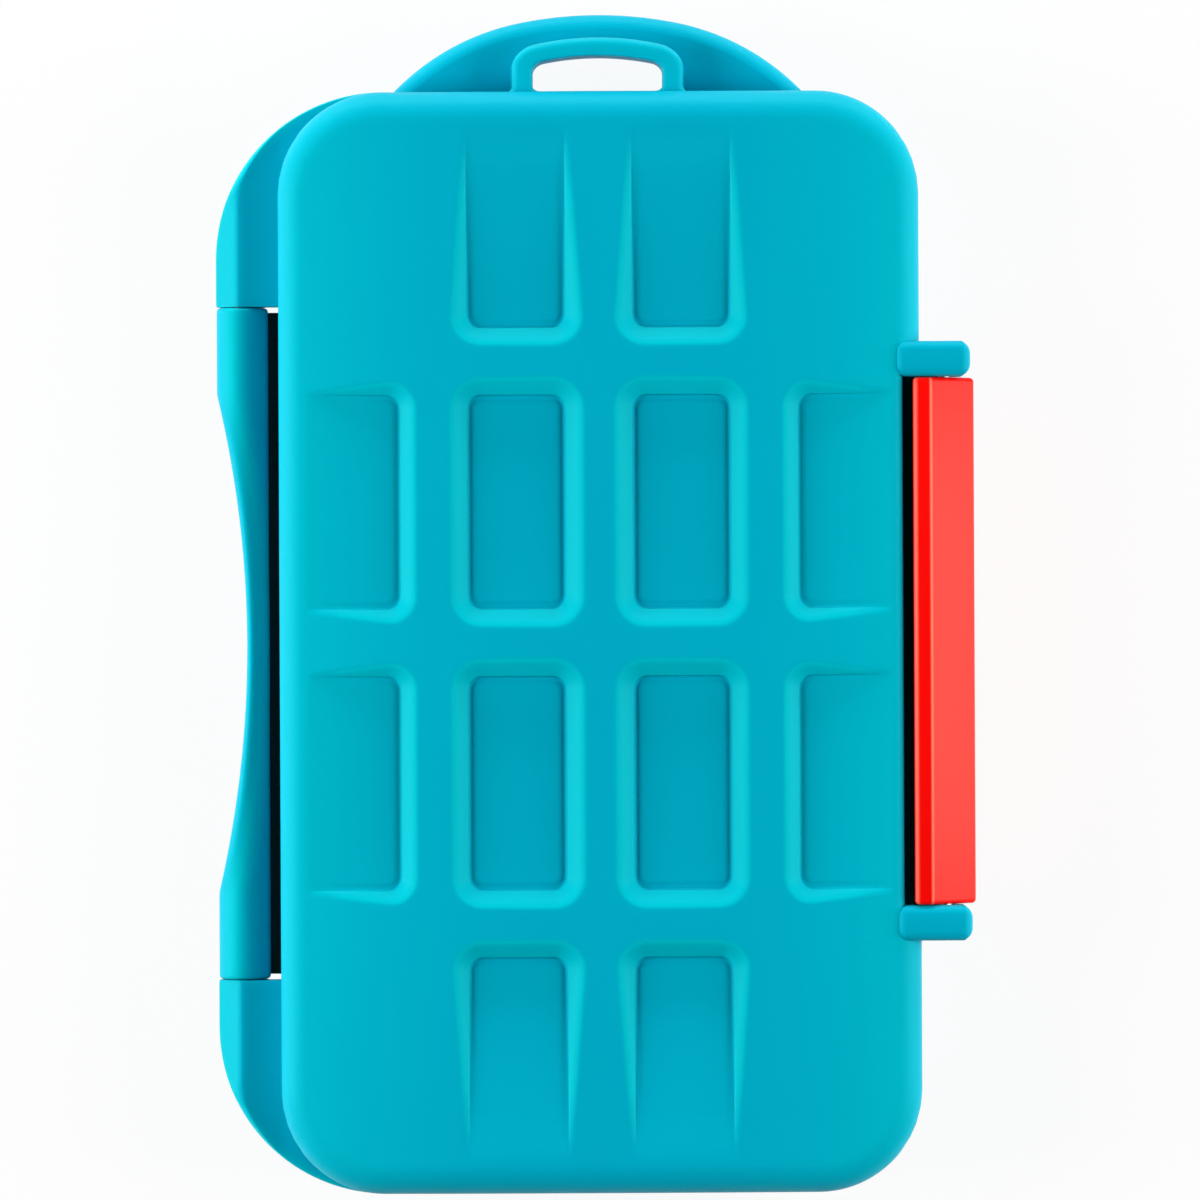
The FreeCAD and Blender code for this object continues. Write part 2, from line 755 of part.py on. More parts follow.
# Latch drawn around its pivot: flat front strip, slanted facet, long leg and a hook at its foot.
def make_latch():
    body = new_body("latch")
    inner = given.latch_outer - given.latch_leg
    tip = given.catch_reach + given.catch_gap - given.latch_pivot_reach
    hook = -(given.latch_pivot_height + given.catch_drop + given.hook_gap)
    foot = hook - given.latch_hook_depth
    lift = inner - tip
    sketch = sketch_on(body, "latch_section", "XZ_Plane")
    draw(sketch, [
        (-given.latch_heel, given.latch_front, None),
        (-given.latch_heel, -given.latch_heel_drop, None),
        (inner, -given.latch_heel_drop - given.latch_heel - inner, None),
        (inner, hook + lift, None),
        (tip, hook, None),
        (tip, foot + lift, None),
        (inner, foot, None),
        (given.latch_outer - given.latch_edge_round, foot, None),
        (given.latch_outer, foot + lift, None),
        (given.latch_outer, given.latch_front - given.latch_facet_drop, None),
        (-given.latch_ridge, given.latch_front, None),
    ])
    extrude(body, "Pad", "section", sketch, given.latch_length, both_ways=True)

    def along(edge):
        return edge.BoundBox.YLength > given.latch_length.value - near
    round_edges(body, "edge_round", given.latch_edge_round, along)
    for side, word in ((1, "upper"), (-1, "lower")):
        sketch = sketch_on(body, word + "_bore_outline", "XZ_Plane", y=given.latch_length / 2 * side)
        draw_circle(sketch, zero, zero, given.latch_pin_radius + given.pin_clearance)
        extrude(body, "Pocket", word + "_bore", sketch, given.latch_pin_run + given.pin_end_gap,
                reverse=side > 0)
    bind(body, "Placement.Base.x", pivot_reach)
    bind(body, "Placement.Base.z", cover_depth + given.latch_pivot_height)
    return body


# Soft tray: four card pockets, four small card pockets and a finger scoop at each.
def make_tray(label, front):
    body = new_body(label)
    back = cover_depth - given.face_wall
    sketch = sketch_on(body, "tray_outline", "XY_Plane", z=given.tray_sink)
    draw_rounded(sketch, -tray_half_width, tray_half_width, -tray_half_length, tray_half_length,
                 given.cover_corner - given.side_wall - given.tray_gap)
    extrude(body, "Pad", "slab", sketch, back - given.tray_sink)
    round_edges(body, "face_round", given.tray_edge_round, lambda edge: level(edge, given.tray_sink))
    small_foot = tray_half_length - given.tray_end_margin - small_tall
    upper_foot = small_foot - given.tray_row_gap - card_tall
    lower_foot = upper_foot - given.tray_row_gap - card_tall
    middle = given.tray_middle_rib / 2 + card_wide / 2
    cards = [(x, y) for x in (-middle, middle) for y in (upper_foot, lower_foot)]
    smalls = [(small_pitch / 2 * step, small_foot) for step in (-3, -1, 1, 3)]
    cut_pockets(body, "card", cards, card_wide, card_tall, card_deep)
    cut_pockets(body, "small_card", smalls, small_wide, small_tall, small_deep)
    cut_scoops(body, "card", cards, given.scoop_width, given.scoop_reach, card_deep + given.scoop_extra)
    cut_scoops(body, "small_card", smalls, given.small_scoop_width, given.small_scoop_reach,
               small_deep + given.scoop_extra)
    set_half(body, front)
    return body


def cut_pockets(body, name, places, wide, tall, deep):
    sketch = sketch_on(body, name + "_pocket_outline", "XY_Plane", z=given.tray_sink)
    for x, y in places:
        draw_rounded(sketch, x - wide / 2, x + wide / 2, y, y + tall, given.pocket_corner)
    extrude(body, "Pocket", name + "_pockets", sketch, deep, reverse=True)


def cut_scoops(body, name, places, wide, reach, deep):
    sketch = sketch_on(body, name + "_scoop_outline", "XY_Plane", z=given.tray_sink)
    for x, y in places:
        draw_rounded(sketch, x - wide / 2, x + wide / 2, y - reach, y + reach, reach - given.scoop_flat)
    extrude(body, "Pocket", name + "_scoops", sketch, deep, reverse=True)


bodies = [make_front_cover(), make_rear_cover(), make_seal(), make_latch()]
bodies += make_pins()
bodies += [make_tray("front_card_tray", True), make_tray("rear_card_tray", False)]
document.recompute()

for item in document.Objects:
    if "Invalid" in item.State or "Error" in item.State:
        raise RuntimeError("%s is not built: %s" % (item.Label, item.State))
os.makedirs("parts", exist_ok=True)
for body in bodies:
    if body.Shape.isNull() or not body.Shape.isValid() or len(body.Shape.Solids) != 1:
        raise RuntimeError("%s is not one valid solid" % body.Label)
    body.Shape.exportStep("parts/%s.step" % body.Label)
    print(body.Label, round(body.Shape.Volume, 2))
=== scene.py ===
# Memory card case: two teal moulded halves on a side hinge, a red swinging latch and soft card trays.
import math

import bmesh
import bpy
import numpy as np
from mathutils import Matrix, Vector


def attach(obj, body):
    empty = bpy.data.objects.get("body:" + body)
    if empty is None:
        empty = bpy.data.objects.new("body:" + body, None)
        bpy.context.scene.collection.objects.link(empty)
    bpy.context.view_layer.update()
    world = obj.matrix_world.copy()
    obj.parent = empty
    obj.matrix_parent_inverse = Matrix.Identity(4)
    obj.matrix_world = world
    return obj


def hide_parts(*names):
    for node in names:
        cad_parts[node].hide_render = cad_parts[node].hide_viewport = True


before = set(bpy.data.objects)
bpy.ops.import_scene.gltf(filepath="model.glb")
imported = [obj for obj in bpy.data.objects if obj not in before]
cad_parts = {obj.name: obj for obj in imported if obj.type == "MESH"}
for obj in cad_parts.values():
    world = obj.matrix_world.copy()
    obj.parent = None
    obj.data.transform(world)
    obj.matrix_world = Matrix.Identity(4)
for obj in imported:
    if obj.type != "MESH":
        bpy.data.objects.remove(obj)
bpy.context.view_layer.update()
mm = 0.001
tiny = 1e-6   # lengths in mm that differ by less are the same
print("frame loaded:", ", ".join(sorted(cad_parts)))

# lengths are in mm; a half is drawn from the parting plane outward, z being the height above that plane
case = {
    "split": 9.4,          # height of the parting plane
    "halfWidth": 30.4,
    "halfLength": 52.225,
    "corner": 9.8,
    "depth": 9.4,
    "crown": 1.2,          # how far the front falls from its middle line to its long edges
    "crownPower": 3,
    "edgeRound": 2.7,
    "wall": 3.4,
    "rim": 0.05,           # each rim stops this far short of the parting plane
    "hingeX": -34.08,
    "hingeRadius": 2.45,
    "flange": 2.45,        # thickness of the tab and of the ears
    "dish": 0.45,          # how far an ear sinks from its crest to the wall of the cover
}


# surfaces

# The lower of two numbers, with a parabola across the place where they cross.
def softMin(a, b, width):
    near = np.clip(1 - np.abs(a - b) / width, 0, 1)
    return np.minimum(a, b) - near * near * width / 4


def softMax(a, b, width):
    return -softMin(-a, -b, width)


# Distance to the outline of a rounded rectangle: less than nothing inside it.
def boxDistance(x, y, left, right, bottom, top, radius):
    across = np.abs(x - (left + right) / 2) - (right - left) / 2 + radius
    along = np.abs(y - (bottom + top) / 2) - (top - bottom) / 2 + radius
    outside = np.hypot(np.maximum(across, 0), np.maximum(along, 0))
    return outside + np.minimum(np.maximum(across, along), 0) - radius


# Quads between neighbouring points of a grid; a closed direction joins its last line to its first.
def gridQuads(rows, cols, closedRows=False, closedCols=False):
    row, col = np.meshgrid(np.arange(rows - (not closedRows)), np.arange(cols - (not closedCols)),
                           indexing="ij")
    nextRow, nextCol = (row + 1) % rows, (col + 1) % cols
    corners = [row * cols + col, row * cols + nextCol, nextRow * cols + nextCol, nextRow * cols + col]
    return np.stack(corners, -1).reshape(-1, 4)


# A surface is its points, its quads and the rows that are filled as flat ends. A point may have a fourth
# number, how much painted highlight it takes, from 0 to 1.
def surface(points, closedRows=False, closedCols=False, ends=()):
    rows, cols, size = points.shape
    index = np.arange(rows * cols).reshape(rows, cols)
    quads = gridQuads(rows, cols, closedRows, closedCols)
    return points.reshape(-1, size), quads, [index[row] for row in ends]


# The same grid of points with its painted highlight, which may be given for each row or for each point.
def highlit(points, highlight):
    return np.concatenate([points, np.broadcast_to(highlight, points.shape[:2])[..., None]], -1)


# Two flat coordinates and a height, broadcast into points.
def lifted(flat, height):
    return np.concatenate([flat, np.broadcast_to(height, flat.shape[:-1])[..., None]], -1)


def unit(vectors):
    return vectors / np.linalg.norm(vectors, axis=1, keepdims=True)


def unitCircle(angle):
    return np.stack([np.cos(angle), np.sin(angle)], -1)


# Points of a path, read off at given places along it.
def pointsAt(places, along, path, period=None):
    return np.stack([np.interp(places, along, path[:, axis], period=period) for axis in (0, 1)], -1)


# Length along a path at each of its points.
def pathLengths(path):
    return np.concatenate([[0], np.cumsum(np.linalg.norm(np.diff(path, axis=0), axis=1))])


# Polygon with every corner turned into an arc that touches both of its sides.
def roundedPolygon(corners, radii, steps=8):
    corner = np.asarray(corners, float)
    radius = np.broadcast_to(np.asarray(radii, float), len(corner))[:, None]
    back = unit(np.roll(corner, 1, 0) - corner)
    ahead = unit(np.roll(corner, -1, 0) - corner)
    sine = np.sqrt((1 - (back * ahead).sum(1, keepdims=True)) / 2)
    centre = corner + unit(back + ahead) * radius / sine
    reach = radius * np.sqrt(1 - sine * sine) / sine
    start = corner + back * reach - centre
    end = corner + ahead * reach - centre
    first = np.arctan2(start[:, 1], start[:, 0])[:, None]
    turn = np.arctan2(end[:, 1], end[:, 0])[:, None] - first
    turn = (turn + math.pi) % (2 * math.pi) - math.pi
    angle = first + turn * np.linspace(0, 1, steps)
    return (centre[:, None] + radius[:, None] * unitCircle(angle)).reshape(-1, 2)


# The same closed loop with points added, so that no two lie further apart than the spacing.
def denser(loop, spacing):
    shut = np.concatenate([loop, loop[:1]])
    length = pathLengths(shut)
    extra = np.linspace(0, length[-1], int(length[-1] / spacing) + 1)
    every = np.unique(np.round(np.concatenate([length, extra]), 5))[:-1]
    return pointsAt(every, length, shut)


# Outward direction at each point of a counter-clockwise loop: its tangent turned by a quarter.
def loopNormals(loop):
    along = unit(np.roll(loop, -1, 0) - np.roll(loop, 1, 0))
    return np.stack([along[:, 1], -along[:, 0]], -1)


# Loops that each see one centre, read at the same angles round it: those of the leading loops.
def matchLoops(loops, centre, leading):
    turned = [np.arctan2(loop[:, 1] - centre[1], loop[:, 0] - centre[0]) for loop in loops]
    every = np.unique(np.round(np.concatenate(turned[:leading]), 3))
    return [pointsAt(every, angle, loop, 2 * math.pi) for angle, loop in zip(turned, loops)]


# Quarter circle from the top of an edge to its side: how far inward and how far down, row by row. The
# radius may change along the edge.
def quarter(radius, steps):
    angle = np.linspace(0, math.pi / 2, steps)
    angle = angle[:, None] if np.ndim(radius) else angle
    return radius * (1 - np.sin(angle)), radius * (1 - np.cos(angle))


# Points from x and z for every row and column, and y for every row.
def alongY(x, y, z):
    return np.stack([x, np.broadcast_to(y[:, None], x.shape), z], -1)


# Rows of a bar along Y with rounded ends: their places, and how far a quarter circle draws each one in.
def barRows(halfLength, endRound, steps, straightRows):
    inset, drop = quarter(endRound, steps)
    straight = np.linspace(endRound - halfLength, halfLength - endRound, straightRows)[1:-1]
    y = np.concatenate([drop - halfLength, straight, halfLength - drop[::-1]])
    return y, np.concatenate([inset, np.zeros_like(straight), inset[::-1]])


# Bar along Y: a section of x and z, carried along such rows, with a painted highlight for the whole bar
# or for each point of the section.
def bar(section, halfLength, endRound, highlight=0.0):
    y, inset = barRows(halfLength, endRound, 5, 4)
    outline = section - loopNormals(section) * inset[:, None, None]
    points = alongY(outline[..., 0], y, outline[..., 1])
    return surface(highlit(points, highlight), closedCols=True, ends=(0, -1))


# Points beyond both start lines of a rounded corner, pressed from a square into a quarter disc.
def pressCorners(x, y, startX, startY, size):
    p = np.clip((np.abs(x) - startX) / size, 0, 1)
    q = np.clip((np.abs(y) - startY) / size, 0, 1)
    pressed = (p > 0) & (q > 0)
    pressedX = np.sign(x) * (startX + size * p * np.sqrt(1 - q * q / 2))
    pressedY = np.sign(y) * (startY + size * q * np.sqrt(1 - p * p / 2))
    return np.where(pressed, pressedX, x), np.where(pressed, pressedY, y)


# Points round the border of a grid, counter-clockwise, each once.
def gridBorder(grid):
    return np.concatenate([grid[0, :-1], grid[:-1, -1], grid[-1, :0:-1], grid[:0:-1, 0]])


# Outward direction along such a border: straight across on the sides, and in the corners away from where
# the start lines cross.
def borderNormals(border, startX, startY):
    return unit(np.sign(border[:, :2]) * np.maximum(np.abs(border[:, :2]) - [startX, startY], 0))


# A face and the rows that go on from its border, as one surface whose last row is filled.
def faceAndWall(face, wall):
    points, quads, ends = surface(face)
    wallPoints, wallQuads, wallEnds = surface(wall, closedCols=True, ends=(-1,))
    count = len(points)
    return (np.concatenate([points, wallPoints]), np.concatenate([quads, wallQuads + count]),
            ends + [end + count for end in wallEnds])


def mirrored(part):
    points = part[0].copy()
    points[:, 1] *= -1
    return points, part[1], part[2]


# From the half's own height to the frame: the front half upward, the rear half downward.
def placeHalf(parts, front):
    placed = []
    for part, quads, ends in parts:
        points = part.copy()
        points[:, 2] = case["split"] + (part[:, 2] if front else -part[:, 2])
        placed.append((points, quads, ends))
    return placed


def newObject(name, data):
    made = bpy.data.objects.new(name, data)
    bpy.context.scene.collection.objects.link(made)
    return made


joining = {"merge": 2e-6, "flatten": 1e-7, "sharpAngle": 38}   # metres, metres, degrees


# One object from several closed surfaces: seams merged, faces outward, smooth but for true edges.
def addPiece(name, parts, body, material, node):
    points, highlight, faces, count = [], [], [], 0
    for part, quads, ends in parts:
        points.append(part[:, :3])
        highlight.append(part[:, 3] if part.shape[1] > 3 else np.zeros(len(part)))
        faces += (quads + count).tolist() + [(end + count).tolist() for end in ends]
        count += len(part)
    mesh = bpy.data.meshes.new(name)
    mesh.from_pydata((np.concatenate(points) * mm).tolist(), [], faces)
    # the painted highlight of each point, kept for the shader
    mesh.attributes.new("highlight", "FLOAT", "POINT").data.foreach_set("value", np.concatenate(highlight))
    work = bmesh.new()
    work.from_mesh(mesh)
    bmesh.ops.remove_doubles(work, verts=work.verts, dist=joining["merge"])
    bmesh.ops.dissolve_degenerate(work, edges=work.edges, dist=joining["flatten"])
    bmesh.ops.recalc_face_normals(work, faces=work.faces)
    work.to_mesh(mesh)
    work.free()
    mesh.polygons.foreach_set("use_smooth", np.ones(len(mesh.polygons), bool))
    mesh.set_sharp_from_angle(angle=math.radians(joining["sharpAngle"]))
    mesh.materials.append(material)
    piece = newObject(name, mesh)
    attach(piece, body)
    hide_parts(node)
    print(name, len(mesh.polygons), "faces")


# materials

# A shader socket that takes part in Python sums; every operator adds its Math node.
class Shade:
    def __init__(self, tree, socket=None):
        self.tree = tree
        self.socket = socket

    # any node: its type, its settings, then its sockets by name or number as values or links
    def node(self, kind, settings=None, sockets=None, output=0):
        made = self.tree.nodes.new(kind)
        for key, value in (settings or {}).items():
            if key == "stops":
                for stop, (place, colour) in zip(made.color_ramp.elements, value):
                    stop.position = place
                    stop.color = colour
            else:
                setattr(made, key, value)
        for key, value in (sockets or {}).items():
            if isinstance(value, Shade):
                self.tree.links.new(value.socket, made.inputs[key])
            else:
                made.inputs[key].default_value = value
        return Shade(self.tree, made.outputs[output] if made.outputs else None)

    def sum(self, operation, first, second):
        return self.node("ShaderNodeMath", {"operation": operation}, {0: first, 1: second})

    def __add__(self, other):
        return self.sum("ADD", self, other)

    def __mul__(self, other):
        return self.sum("MULTIPLY", self, other)

    __radd__ = __add__


# Screen colour of 0 to 255 to the linear colour that a shader takes.
def colour(red, green, blue):
    value = np.array([red, green, blue]) / 255
    linear = np.where(value <= 0.04045, value / 12.92, ((value + 0.055) / 1.055) ** 2.4)
    return tuple(linear.tolist()) + (1.0,)


def newMaterial(name):
    material = bpy.data.materials.new(name)
    material.use_nodes = True
    material.node_tree.nodes.clear()
    return material, Shade(material.node_tree)


def noise(start, scale, detail, stretch=None):
    place = start.node("ShaderNodeTexCoord", output="Object")
    if stretch:
        place = start.node("ShaderNodeMapping", {}, {"Vector": place, "Scale": stretch})
    return start.node("ShaderNodeTexNoise", {}, {"Vector": place, "Scale": scale, "Detail": detail})


def mixColour(start, factor, first, second):
    return start.node("ShaderNodeMix", {"data_type": "RGBA"}, {0: factor, 6: first, 7: second}, output=2)


# painted highlights are broken up by a pattern, between these shares of their full strength
highlightPattern = {"least": 0.75, "range": 0.5}


# Painted highlight: a paler colour mixed in along edges and lit sides, by each point's highlight times an
# uneven pattern.
def paintHighlights(start, pattern, plain, paler):
    highlight = start.node("ShaderNodeAttribute", {"attribute_name": "highlight"}, output="Fac")
    uneven = highlightPattern["least"] + pattern * highlightPattern["range"]
    return mixColour(start, highlight * uneven, plain, paler)


# The shader of a finish: its colour, the roughness above its least one, and the pattern raised as a bump.
def finishMaterial(start, finish, base, rough, raised):
    bump = {"Height": raised, "Strength": finish["bump"], "Distance": finish["bumpHeight"]}
    sockets = {"Base Color": base, "Roughness": finish["roughness"] + rough,
               "Normal": start.node("ShaderNodeBump", {}, bump), **finish["sockets"]}
    shader = start.node("ShaderNodeBsdfPrincipled", {}, sockets)
    start.node("ShaderNodeOutputMaterial", {}, {"Surface": shader})


# a pattern is given by its scale, its detail and, where it is drawn out, its stretch
tealFinish = {
    "deep": colour(0, 165, 192),
    "pale": colour(0, 171, 198),
    # colour of the painted highlights
    "highlit": colour(0, 209, 208),
    "grain": (3800.0, 3.0),   # moulded grain of about a quarter of a millimetre
    "clouds": (70.0, 4.0),
    "flow": (260.0, 2.0, (1.0, 0.12, 1.0)),
    "cloudShare": 0.7,        # the flow has the rest
    "roughness": 0.39,        # at least
    "grainRough": 0.08,
    "cloudRough": 0.06,
    "bump": 0.12,
    "bumpHeight": 0.00004,
    "sockets": {"Specular IOR Level": 0.12, "Specular Tint": (0.02, 1.0, 0.55, 1.0)},
}


# Satin moulded plastic: faint clouds in the colour, fine grain in the surface, and a paler colour painted
# on as highlights along edges and lit sides.
def tealPlastic():
    material, start = newMaterial("tealPlastic")
    grain, clouds, flow = (noise(start, *tealFinish[key]) for key in ("grain", "clouds", "flow"))
    share = tealFinish["cloudShare"]
    plain = mixColour(start, clouds * share + flow * (1 - share), tealFinish["deep"], tealFinish["pale"])
    rough = grain * tealFinish["grainRough"] + clouds * tealFinish["cloudRough"]
    # painted highlight mixed into the base colour
    base = paintHighlights(start, grain, plain, tealFinish["highlit"])
    finishMaterial(start, tealFinish, base, rough, grain)
    return material


redFinish = {
    "deep": colour(248, 4, 2),
    "pale": colour(255, 9, 5),
    # colour of the painted highlights on the ridge and edges
    "highlit": colour(255, 128, 104),
    "grain": (4200.0, 2.0),
    "flow": (420.0, 3.0, (1.0, 0.08, 1.0)),
    "roughness": 0.28,
    "grainRough": 0.05,
    "flowRough": 0.05,
    "bump": 0.06,
    "bumpHeight": 0.00003,
    "sockets": {"Specular IOR Level": 0.18, "Specular Tint": (1.0, 0.8, 0.6, 1.0)},
}


# Smoother moulded plastic with a long flow along the latch, and a paler colour painted on as highlights
# along its ridge and edges.
def redPlastic():
    material, start = newMaterial("redPlastic")
    grain, flow = (noise(start, *redFinish[key]) for key in ("grain", "flow"))
    plain = mixColour(start, flow, redFinish["deep"], redFinish["pale"])
    rough = grain * redFinish["grainRough"] + flow * redFinish["flowRough"]
    # painted highlight mixed into the base colour
    base = paintHighlights(start, flow, plain, redFinish["highlit"])
    finishMaterial(start, redFinish, base, rough, grain)
    return material


rubberFinish = {
    "tray": {"deep": colour(34, 37, 41), "pale": colour(48, 52, 56), "roughness": 0.62},
    "seal": {"deep": colour(20, 21, 23), "pale": colour(32, 34, 36), "roughness": 0.5},
    "grain": (2600.0, 4.0),
    "clouds": (120.0, 3.0),
    "cloudShare": 0.6,        # the grain has the rest
    "grainRough": 0.12,
    "bump": 0.25,
    "bumpHeight": 0.00006,
    "sockets": {},
}


# Soft matt rubber: cloudy dark grey with a close dull grain.
def softRubber(name, use):
    finish = {**rubberFinish, **rubberFinish[use]}
    material, start = newMaterial(name)
    grain, clouds = (noise(start, *finish[key]) for key in ("grain", "clouds"))
    share = finish["cloudShare"]
    base = mixColour(start, clouds * share + grain * (1 - share), finish["deep"], finish["pale"])
    finishMaterial(start, finish, base, grain * finish["grainRough"], grain)
    return material


steelFinish = {
    "deep": colour(150, 152, 155),
    "pale": colour(196, 198, 200),
    "scratches": (5200.0, 3.0, (1.0, 0.03, 1.0)),
    "roughness": 0.24,
    "scratchRough": 0.16,
    "bump": 0.1,
    "bumpHeight": 0.00002,
    "sockets": {"Metallic": 1.0},
}


# Drawn steel: fine scratches along the pin.
def brushedSteel():
    material, start = newMaterial("brushedSteel")
    drawn = noise(start, *steelFinish["scratches"])
    base = mixColour(start, drawn, steelFinish["deep"], steelFinish["pale"])
    finishMaterial(start, steelFinish, base, drawn * steelFinish["scratchRough"], drawn)
    return material


shellTeal = tealPlastic()
latchRed = redPlastic()
trayRubber = softRubber("trayRubber", "tray")
sealRubber = softRubber("sealRubber", "seal")
pinSteel = brushedSteel()
print("materials ready")


# covers

windows = {
    "halfWidth": 4.65,
    "halfLength": 10.1,
    "pitchX": 15.65,
    "pitchY": 26.6,
    "depth": 1.45,
    "corner": 1.3,
    "step": 0.4,           # upright foot of the wall
    "stepRun": 0.05,
    "slope": 0.72,         # rise of the wall above its foot, for each mm outward
    "lip": 0.3,
    "groove": 0.6,         # width of the fine groove round the floor
    "grooveDepth": 0.13,
    "wallRun": 1.7,        # room that the wall and its lip take
    "endX": 27.6,          # where the floors of the outer windows meet the face again
    "endY": 48.6,
    # painted highlight on the lips and sloping walls of the windows
    "lipHighlight": 0.5,
    "wallHighlight": 0.35,
    "sideHighlight": 0.3,       # painted light: paler by this much for each mm that the face falls
    "highlightFade": 3,         # the painted highlight is full from a third of the depth
    # lines of the face grid, from a floor's outline inward and outward
    "inward": [0.0, 0.07, 0.15, 0.23, 0.32, 0.41, 0.5, 0.6, 0.9, 1.3],
    "outward": [0.05, 0.2, 0.35, 0.5, 0.65, 0.8, 0.95, 1.1, 1.22, 1.34, 1.46, 1.58, 1.7, 1.85, 2.1, 2.6],
    "floorLines": 9,
    "climbLines": 13,
    "endLines": [44.0, 46.0, 47.2],   # more lines where the end windows run out
}

# hollow in the right-hand edge, in which the latch lies
recess = {"halfLength": 25.2, "out": 1.05, "drop": 1.3, "floor": 2.7, "edge": 0.1}


# Lines of the face grid on one side of the middle, close together along every window edge.
def faceLines(pitch, half, end, limit, extra):
    inside, outside = np.array(windows["inward"]), np.array(windows["outward"])
    near, far, outer = pitch / 2 - half, pitch / 2 + half, pitch * 1.5 - half
    lines = [near + inside, near - outside, far - inside, far + outside, outer + inside, outer - outside]
    lines.append(np.linspace(near + windows["corner"], far - windows["corner"], windows["floorLines"]))
    lines.append(np.linspace(outer + windows["corner"], end, windows["climbLines"]))
    lines.append(np.linspace(end, limit, 3))
    lines = np.concatenate(lines + [np.array([0.0] + extra)])
    both = np.unique(np.round(np.concatenate([lines, -lines]), 4))
    return both[np.abs(both) <= limit + tiny]


# half width, half length and pitches of the windows
def windowSizes():
    return (windows[key] for key in ("halfWidth", "halfLength", "pitchX", "pitchY"))


# Grid lines bent round every window corner: the square corner between two lines becomes an arc of the
# same reach about the corner's centre, and the bend fades out half way to the next window.
def bendCorners(x, y):
    halfX, halfY, pitchX, pitchY = windowSizes()
    gapX = pitchX / 2 - halfX + windows["corner"]
    gapY = pitchY / 2 - halfY + windows["corner"]
    gap = min(gapX, gapY)
    full = windows["corner"] + windows["wallRun"]
    places = (-1.5, -0.5, 0.5, 1.5)   # of the windows, in pitches; the four corner places are empty
    corners = [(column, row, sideX, sideY) for column in places for row in places
               for sideX in (-1, 1) for sideY in (-1, 1)
               if abs(column * row) < 2 and sideX * column * (abs(column) > 1) <= 0
               and sideY * row * (abs(row) > 1) <= 0]
    newX, newY = x.copy(), y.copy()
    for column, row, sideX, sideY in corners:
        centreX = column * pitchX + sideX * (halfX - windows["corner"])
        centreY = row * pitchY + sideY * (halfY - windows["corner"])
        u, v = sideX * (x - centreX), sideY * (y - centreY)
        here = (u > 0) & (v > 0) & (u < gapX) & (v < gapY)
        reach = np.maximum(np.maximum(u, v), tiny)
        fade = np.clip((gap - reach) / (gap - full), 0, 1)
        bentU = u * np.sqrt(np.clip(1 - (v / reach) ** 2 / 2, 0, 1))
        bentV = v * np.sqrt(np.clip(1 - (u / reach) ** 2 / 2, 0, 1))
        newX = np.where(here, centreX + sideX * (u + (bentU - u) * fade), newX)
        newY = np.where(here, centreY + sideY * (v + (bentV - v) * fade), newY)
    return newX, newY


# The face falls from its middle line with a power of the distance across.
def crownDrop(x, crown):
    return crown * (np.abs(x) / case["halfWidth"]) ** case["crownPower"]


# How far the face is sunk at a distance from the outline of a floor: the floor with a fine groove round
# it, an upright foot, then an even slope that ends in a soft lip. Foot and groove shrink with the depth.
# The lip and the slope are also given a painted highlight.
def wallDrop(away, depth):
    share = depth / windows["depth"]
    across = (away / windows["groove"] + 0.5) * 2
    groove = windows["grooveDepth"] * np.clip(1 - across * across, 0, None)
    foot = windows["step"] * np.clip(away / windows["stepRun"], 0, 1)
    slope = windows["slope"] * np.clip(away - windows["stepRun"], 0, None)
    sunk = depth + share * (groove - foot) - slope
    lip = windows["lipHighlight"] * np.clip(1 - np.abs(sunk) / windows["lip"], 0, 1)
    slant = windows["wallHighlight"] * np.clip(away / windows["stepRun"], 0, 1) * (sunk > 0)
    highlight = np.maximum(lip, slant) * np.clip(share * windows["highlightFade"], 0, 1)
    return softMax(sunk, np.zeros_like(away), windows["lip"]), highlight


# How far each window sinks the face. Floors are flat; those of the outer windows climb towards the edge
# of the cover until they meet the face.
def windowDrop(x, y, crown):
    halfX, halfY, pitchX, pitchY = windowSizes()
    innerX, innerY = pitchX * 1.5 - halfX, pitchY * 1.5 - halfY
    beyond = case["halfLength"]
    across, along = np.abs(x), np.abs(y)
    fall = crownDrop(x, crown)
    climb = (windows["depth"] - crownDrop(windows["endX"], crown)) / (windows["endX"] - innerX)
    flat = windows["depth"] - fall
    sideDepth = np.clip(windows["depth"] - climb * np.clip(across - innerX, 0, None) - fall, 0, None)
    endDepth = flat * np.clip((windows["endY"] - along) / (windows["endY"] - innerY), 0, 1)
    boxes = [
        (flat, pitchX / 2 - halfX, pitchX / 2 + halfX, pitchY / 2 - halfY, pitchY / 2 + halfY),
        (sideDepth, innerX, innerX + beyond, pitchY / 2 - halfY, pitchY / 2 + halfY),
        (endDepth, pitchX / 2 - halfX, pitchX / 2 + halfX, innerY, innerY + beyond),
    ]
    drop, highlight = np.zeros_like(x), np.zeros_like(x)
    for depth, left, right, bottom, top in boxes:
        away = boxDistance(across, along, left, right, bottom, top, windows["corner"])
        sunk, edge = wallDrop(away, depth)
        drop = np.maximum(drop, np.where(depth > 0, sunk, 0))
        highlight = np.maximum(highlight, np.where(depth > 0, edge, 0))
    return drop, highlight


